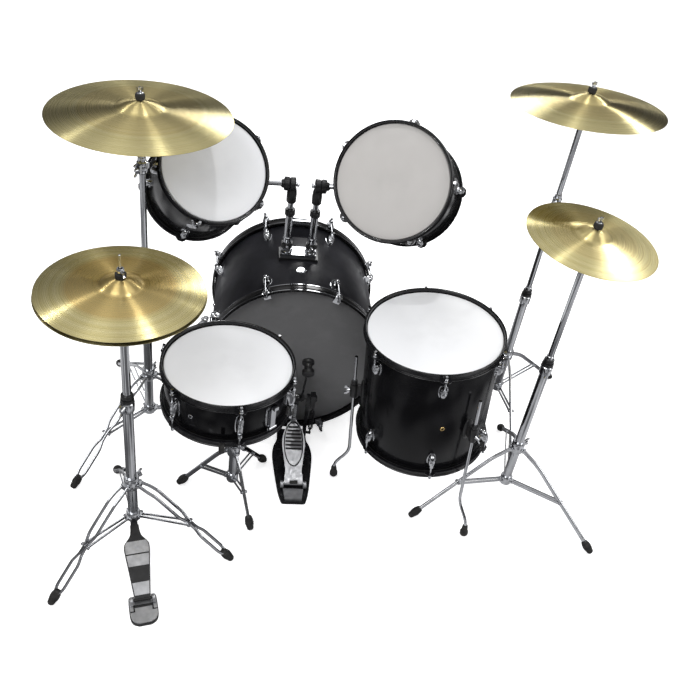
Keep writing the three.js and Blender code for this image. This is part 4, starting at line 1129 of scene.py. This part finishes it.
def bass_footboard(body, place, sides):
    """A cast board with a black oval and ribs across its upper half."""
    edge = smoothed(sides)
    hinge = rod((-31, 0, 0), (31, 0, 0), 4.4, 4.4, 1, 20)
    piece("bass_pedal_board", body, "dull_silver", place, [prism(both_sides(edge), 0, 5.2, 1.2), hinge],
          ["bass_pedal_footboard"])
    middle, long, wide = 143, 82, 31
    turn = [2 * math.pi * i / 56 for i in range(57)]
    oval_line = sweep([(wide * math.cos(t), middle + long * math.sin(t), 5.3) for t in turn], circle(1.9, 8),
                      (0, 0, 1))
    ribs = []
    for i in range(7):
        y = 124 + 13.5 * i
        half = wide * math.sqrt(1 - ((y - middle) / long) ** 2) - 3.5
        ribs.append(block(-half, half, y - 3, y + 3, 5, 6.6, 0.9))
    notch = block(-13, 13, -3, 9, 4.8, 6, 0.6)
    piece("bass_pedal_grip", body, "rubber", place, [oval_line, notch] + ribs)


def hihat_footboard(body, place, sides):
    """A black board with silver panels and a narrow neck at its toe."""
    edge = smoothed(sides)
    hinge = rod((-24, 0, 0), (24, 0, 0), 4.4, 4.4, 1, 20)
    piece("hihat_pedal_board", body, "knob", place, [prism(both_sides(edge), 0, 5, 1.2), hinge],
          ["hihat_footboard"])
    spans = ((11, 46), (92, 124), (128, 163))
    panels = [panel(edge, a, b, 2.6, 4.6, 6.2) for a, b in spans]
    piece("hihat_pedal_panels", body, "silver", place, panels + [panel(edge, 6, 164, -0.5, 0.6, 3.4, 0.4)])


def chain_links(a, b, pitch=7.2, width=8):
    """A roller chain from a to b."""
    length = (Vector(b) - Vector(a)).length
    count = max(2, int(length / pitch))
    link = prism(oval(5.6, pitch * 1.35, 16, 2.2), -0.5, 0.5, 0.2)
    pin = rod((-width / 2 - 1, 0, 0), (width / 2 + 1, 0, 0), 1.7, sides=10)
    shapes = []
    for i in range(count):
        x = width / 2 - (1.2 if i % 2 else 0)
        for e in (-1, 1):
            shapes.append(moved(link, shift(e * x, 0, (i + 0.5) * length / count) @ spin(90, "Y") @ spin(90)))
        shapes.append(moved(pin, shift(0, 0, i * length / count)))
    return placed(shapes, along(a, b))


def hihat_pedal(place):
    """Heel plate, spine and footboard. X runs from the tube to the heel."""
    hinge = HIHAT["hinge"]
    turn = place @ spin(-90)
    rim = smoothed(shifted([(-21, 30), (-16, 37), (20, 38.5), (48, 37), (63, 30), (71, 16)], hinge))
    top = smoothed(shifted([(-20, 29), (-15, 35), (20, 36.5), (46, 35), (60, 28), (67, 15)], hinge))
    # A black layer under the silver heel casting, a little wider than it, shows as a dark rim round the
    # casting's lower edge.
    piece("hihat_heel_black_rim", "kit_base", "knob", turn, [prism(both_sides(rim), 0.3, 6, 1.4)])
    ears = [moved(bush(0, 11, -4, 4), shift(e * 30, hinge, 18) @ spin(90, "Y")) for e in (-1, 1)]
    lobes = [block(e * 30 - 4, e * 30 + 4, hinge - 12, hinge + 8, 6, 18, 1.5) for e in (-1, 1)]
    piece("hihat_heel_casting", "kit_base", "silver", turn, [prism(both_sides(top), 5, 9.4,
                                                                   1.2)] + ears + lobes,
          ["hihat_heel_plate"])
    bars = ((-24, 24, 9, 17), (-27, -23, 9, 30), (23, 27, 9, 30), (-36, -24, 27, 30), (24, 36, 27, 30))
    slot = [block(x0, x1, hinge + y0, hinge + y1, 9, 10.4, 0.5) for x0, x1, y0, y1 in bars]
    piece("hihat_heel_grip", "kit_base", "knob", turn, slot)
    path = [(0, hinge - 4, 4), (0, 70, 4), (0, 22, 6), (0, 20, 70)]
    spine = sweep(rounded_path(path, 14), oval(24, 4), (1, 0, 0))
    piece("hihat_pedal_spine", "kit_base", "chrome", turn, [spine])
    slope = math.degrees(math.atan2(76, hinge - 16))
    board_at = place @ shift(hinge / 1000, 0, 0.020) @ spin(90) @ spin(slope, "X")
    sides = [(2, 21), (20, 23), (60, 27), (100, 31), (138, 35), (154, 34), (164, 28), (178, 17), (194, 13),
             (211, 12)]
    hihat_footboard("hihat_pedal", board_at, sides)
    strap = sweep([(20, 0, 92), (13, 0, 99.5), (4, 0, 109), (0, 0, 118)], oval(20, 2.4), (0, 1, 0))
    grip = rod((0, 0, 112), (0, 0, 128), 7.5, 6, 1.5)
    piece("hihat_pull_strap", "hihat_rod", "knob", place, [strap, grip])


def snare_stand():
    """The snare drum's tripod, its tilter and its three-armed basket."""
    s = dict(SNARE_STAND, tube_r=13, wing=-60)
    place, arm_z = at(s["x"], s["y"], 0), s["arm_z"]
    tripod_pieces(s, "kit_base", place, ["snare_stand_tripod"])
    pivot = arm_z - 30
    tube = rod((0, 0, s["tube_top"] - 118), (0, 0, pivot - 12), UPPER_PIPE_R, UPPER_PIPE_R, 1, 32)
    body = "snare_stand_upper"
    piece("snare_stand_upper_pipe", body, "chrome", place, [tube], ["snare_stand_upper_tube"])
    tilt = place @ shift(z=pivot / 1000)
    neck = lathe([(0, -26), (11, -26), (12, -24), (11, -12), (0, -8)], 28)
    piece("snare_stand_tilter_base", body, "knob", tilt, ratchet(-10, -0.4, 20, 12) + [neck])
    body = "snare_basket"
    screw = t_handle((8, 0, 0), (34, 0, 0), 4, 34)
    piece("snare_basket_tilter", body, "chrome", tilt,
          ratchet(0.6, 10, 20, 12) + screw + [block(0.6, 10, -8, 8, 6, 22, 2)])
    reach = SNARE["r"] + 27
    hub = lathe(lifted([(0, -17), (16, -17), (18, -14), (18, 0.5), (16, 2.5), (0, 2.5)], arm_z), 40)
    center = at(SNARE["head"][0], SNARE["head"][1], 0)
    path = [(12, 0, arm_z - 6), (reach - 6, 0, arm_z - 2.4), (reach, 0, arm_z + 4),
            (reach + 1, 0, arm_z + 26)]
    arm = sweep(rounded_path(path, 18), oval(9, 5.2), (0, 1, 0))
    path = [(reach - 24, 0, arm_z - 2.6), (reach - 1, 0, arm_z - 1), (reach + 1, 0, arm_z + 10),
            (reach + 1, 0, arm_z + 34)]
    tip = sweep(rounded_path(path, 14), oval(15, 9), (0, 1, 0))
    piece("snare_basket_arms", body, "chrome", center, [hub] + turned([arm], SNARE_ARMS), ["snare_basket"])
    piece("snare_basket_grips", body, "rubber", center, turned([tip], SNARE_ARMS))


# ---- bass pedal ---------------------------------------------------------------
def bass_pedal():
    """Plate, heel, posts, spring, footboard and beater of the bass drum's pedal."""
    p = PEDAL
    place, axle, axle_z, hinge = at(p["x"], 0, 0), p["axle"], p["axle_z"], p["hinge"]
    side = smoothed([(p["heel"], 30), (p["heel"] + 5, 39), (-540, 48), (-500, 54), (-420, 63), (-365, 67),
                     (-325, 62), (-292, 51), (-240, 50)])
    rails = [sweep([(e * (w - 2.2), y, 4.2) for y, w in side[4:-6]], circle(2.2, 8), (0, 0, 1)) for e in (1,
                                                                                                          -1)]
    piece("bass_pedal_plate", "kit_base", "black", place, [prism(both_sides(side), 0.2, 4, 1)] + rails,
          ["bass_pedal_base_plate"])
    heel = prism([(-27, p["heel"] + 13), (27, p["heel"] + 13), (33, hinge - 9), (-33, hinge - 9)], 4, 11, 2)
    ears = [moved(bush(0, 12, -5, 5), shift(e * 37, hinge, p["hinge_z"] - 4) @ spin(90, "Y")) for e in (-1,
                                                                                                        1)]
    piece("bass_pedal_heel", "kit_base", "silver", place, [heel] + ears)
    outline = [(-8, 4.4), (8, 4.4), (7, 120), (10, axle_z + 8), (6, axle_z + 15), (-6, axle_z + 15),
               (-10, axle_z + 8), (-7, 120)]
    post = moved(prism(outline, -6, 6, 2), spin(90) @ spin(90, "X"))
    posts = [moved(post, shift(e * 42, axle, 0)) for e in (-1, 1)]
    posts += [block(-50, 50, axle + 2, axle + 17, 4.4, 20, 3), block(-18, 18, axle + 8, -212, 13, 21, 2),
              block(-18, 18, -238, -229, 4.4, 30, 2)]
    piece("bass_pedal_posts", "kit_base", "black", place, posts, ["bass_pedal_frame"])
    piece("bass_pedal_clamp_screw", "kit_base", "chrome", place,
          t_handle((0, -243, 24), (0, -252, 44), 3.4, 30))
    x, y = 60, axle - 10
    spring = [coil((x, y, 56), (x, y, 132), 7.5, 1.5, 14), rod((x, y, 30), (x, y, 58), 3),
              rod((x, y, 130), (x, y, 156), 2.6), rod((44, y + 4, 34), (x + 4, y, 34), 5)]
    casting = [block(49, 66, axle - 14, axle + 13, axle_z - 34, axle_z + 18, 5),
               rod((50, axle, axle_z), (71, axle, axle_z), 14, 12, 3, 28)]
    piece("bass_pedal_spring", "kit_base", "black", place, spring + casting)
    slope = math.degrees(math.atan2(p["toe_z"] - p["hinge_z"], p["toe"] - hinge))
    board_at = at(p["x"], hinge, p["hinge_z"]) @ spin(slope, "X")
    sides = [(0, 31), (22, 29), (48, 27), (100, 33), (142, 38), (180, 34), (212, 22), (228, 12), (240, 9)]
    bass_footboard("bass_pedal_footboard", board_at, sides)
    beater(at(p["x"], axle, axle_z), p)


def beater(place, p):
    """The axle with its cam and chain, and the striker on its shaft."""
    body = "bass_pedal_beater"
    axle = moved(pipe(0, 5, -50, 50, 6), spin(90, "Y"))
    arc = [math.radians(a) for a in range(100, 291, 10)]
    cam = moved(prism([(24 * math.cos(a) - 3, 24 * math.sin(a)) for a in arc], -8, 8, 1.5),
                spin(90) @ spin(90, "X"))
    hub = rod((-13, 0, 0), (13, 0, 0), 12, 12, 2, 28)
    swing = place @ shift(p["beater_x"] / 1000) @ spin(p["lean"], "X")
    piece("bass_pedal_axle", body, "black", place, [axle, hub, cam])
    shaft = rod((0, 0, -22), (0, 0, p["length"] + 8), 3.3, 3.3, 1, 18)
    lock = [rod((-8, 0, 0), (8, 0, 0), 11, 11, 2, 28), rod((0, 0, 8), (0, 0, 26), 8, 6, 1.5)]
    piece("bass_pedal_shaft", body, "black", swing, [shaft])
    profile = [(0, -27), (17, -27), (19, -25.5), (19.6, -22), (19.6, -13), (18.5, -11), (13.5, -7),
               (12.6, -3),
               (12.6, 3), (13.5, 7), (18.5, 11), (19.6, 13), (19.6, 20), (18, 23.5), (13, 25), (0, 25.4)]
    spool = moved(lathe(profile, 48), shift(z=p["length"]) @ spin(-90, "X"))
    piece("bass_pedal_striker", body, "knob", swing, [spool] + lock, ["bass_pedal_beater"])
    piece("bass_pedal_chain", body, "chrome", place, chain_links((0, -22, 2), (0, -30, -84)))


# ---- scene ----------------------------------------------------------------------
CAMERA_AT, CAMERA_WAY = (-201.2, -2278.6, 1989.6), (0.1423, 0.7754, -0.6152)
CAMERA_ROLL, CAMERA_LENS = 9.534, 41.5
LIGHTS = [
    ("key", (-2.2, -2.6, 4.2), (0, 0, 0.5), 2.4, 95),
    ("fill", (3.4, -1.6, 2.8), (0, 0, 0.6), 2.0, 56),
    ("back", (0.5, 3.7, 2.7), (0, 0, 0.6), 1.2, 34),
    ("lamp_left", (-3.0, 1.2, 3.4), (-0.4, 0, 0.9), 0.12, 18),
    ("lamp_right", (2.6, 2.4, 3.2), (0.3, 0, 0.9), 0.14, 24),
    ("lamp_top", (-0.04, 0.25, 3.9), (-0.3, 0, 0.9), 0.12, 16),
]
ROOM_TONES = [(0.0, 0.30), (0.06, 0.12), (0.22, 0.035), (0.42, 0.14), (0.62, 0.66), (1.0, 0.95)]


def camera():
    """The photo's viewpoint."""
    data = bpy.data.cameras.new("camera")
    data.lens, data.sensor_width = CAMERA_LENS, 36
    obj = bpy.data.objects.new("camera", data)
    bpy.context.scene.collection.objects.link(obj)
    look = Vector(CAMERA_WAY).to_track_quat("-Z", "Y").to_matrix().to_4x4()
    obj.matrix_world = Matrix.Translation(kit(*CAMERA_AT)) @ look @ spin(CAMERA_ROLL)
    bpy.context.scene.camera = obj


def light(name, place, target, size, power):
    """A square area light aimed at its target."""
    data = bpy.data.lights.new(name, "AREA")
    data.shape, data.size, data.energy = "SQUARE", size, power
    obj = bpy.data.objects.new(name, data)
    way = (Vector(target) - Vector(place)).to_track_quat("-Z", "Y").to_matrix().to_4x4()
    obj.matrix_world = Matrix.Translation(place) @ way
    bpy.context.scene.collection.objects.link(obj)


def white_floor(reach=40, z=-0.0004):
    mesh = bpy.data.meshes.new("floor")
    mesh.from_pydata([(-reach, -reach, z), (reach, -reach, z), (reach, reach, z), (-reach, reach, z)],
                     [], [(0, 1, 2, 3)])
    mesh.materials.append(floor_paint())
    floor = bpy.data.objects.new("floor", mesh)
    bpy.context.scene.collection.objects.link(floor)


def surroundings():
    """A soft grey room for light and reflections, and a pale wall that only the camera sees."""
    world = bpy.data.worlds.new("studio")
    bpy.context.scene.world = world
    world.use_nodes = True
    tree = world.node_tree
    coords = tree.nodes.new("ShaderNodeTexCoord")
    split = tree.nodes.new("ShaderNodeSeparateXYZ")
    ramp = tree.nodes.new("ShaderNodeValToRGB")
    tree.links.new(coords.outputs["Generated"], split.inputs[0])
    tree.links.new(split.outputs["Z"], ramp.inputs["Fac"])
    for i, (height, value) in enumerate(ROOM_TONES):
        stop = ramp.color_ramp.elements[i] if i < 2 else ramp.color_ramp.elements.new(height)
        stop.position = height
        stop.color = (value, value, value * 1.01, 1)
    seen = tree.nodes.new("ShaderNodeLightPath")
    mix = tree.nodes.new("ShaderNodeMix")
    mix.data_type = "RGBA"
    tree.links.new(seen.outputs["Is Camera Ray"], mix.inputs["Factor"])
    tree.links.new(ramp.outputs["Color"], mix.inputs[6])
    mix.inputs[7].default_value = (0.92, 0.92, 0.925, 1)
    tree.links.new(mix.outputs[2], tree.nodes["Background"].inputs["Color"])


camera()
white_floor()
for lamp in LIGHTS:
    light(*lamp)
surroundings()
bpy.context.scene.view_settings.view_transform = "Standard"
bass_drum()
tom_holder()
for tom in TOMS:
    steel_rim_drum(tom, tom["name"], "head" if tom["side"] < 0 else "grey_head")
floor_tom()
snare_drum()
snare_stand()
hihat()
for stand in CYMBALS:
    cymbal_stand(stand)
bass_pedal()
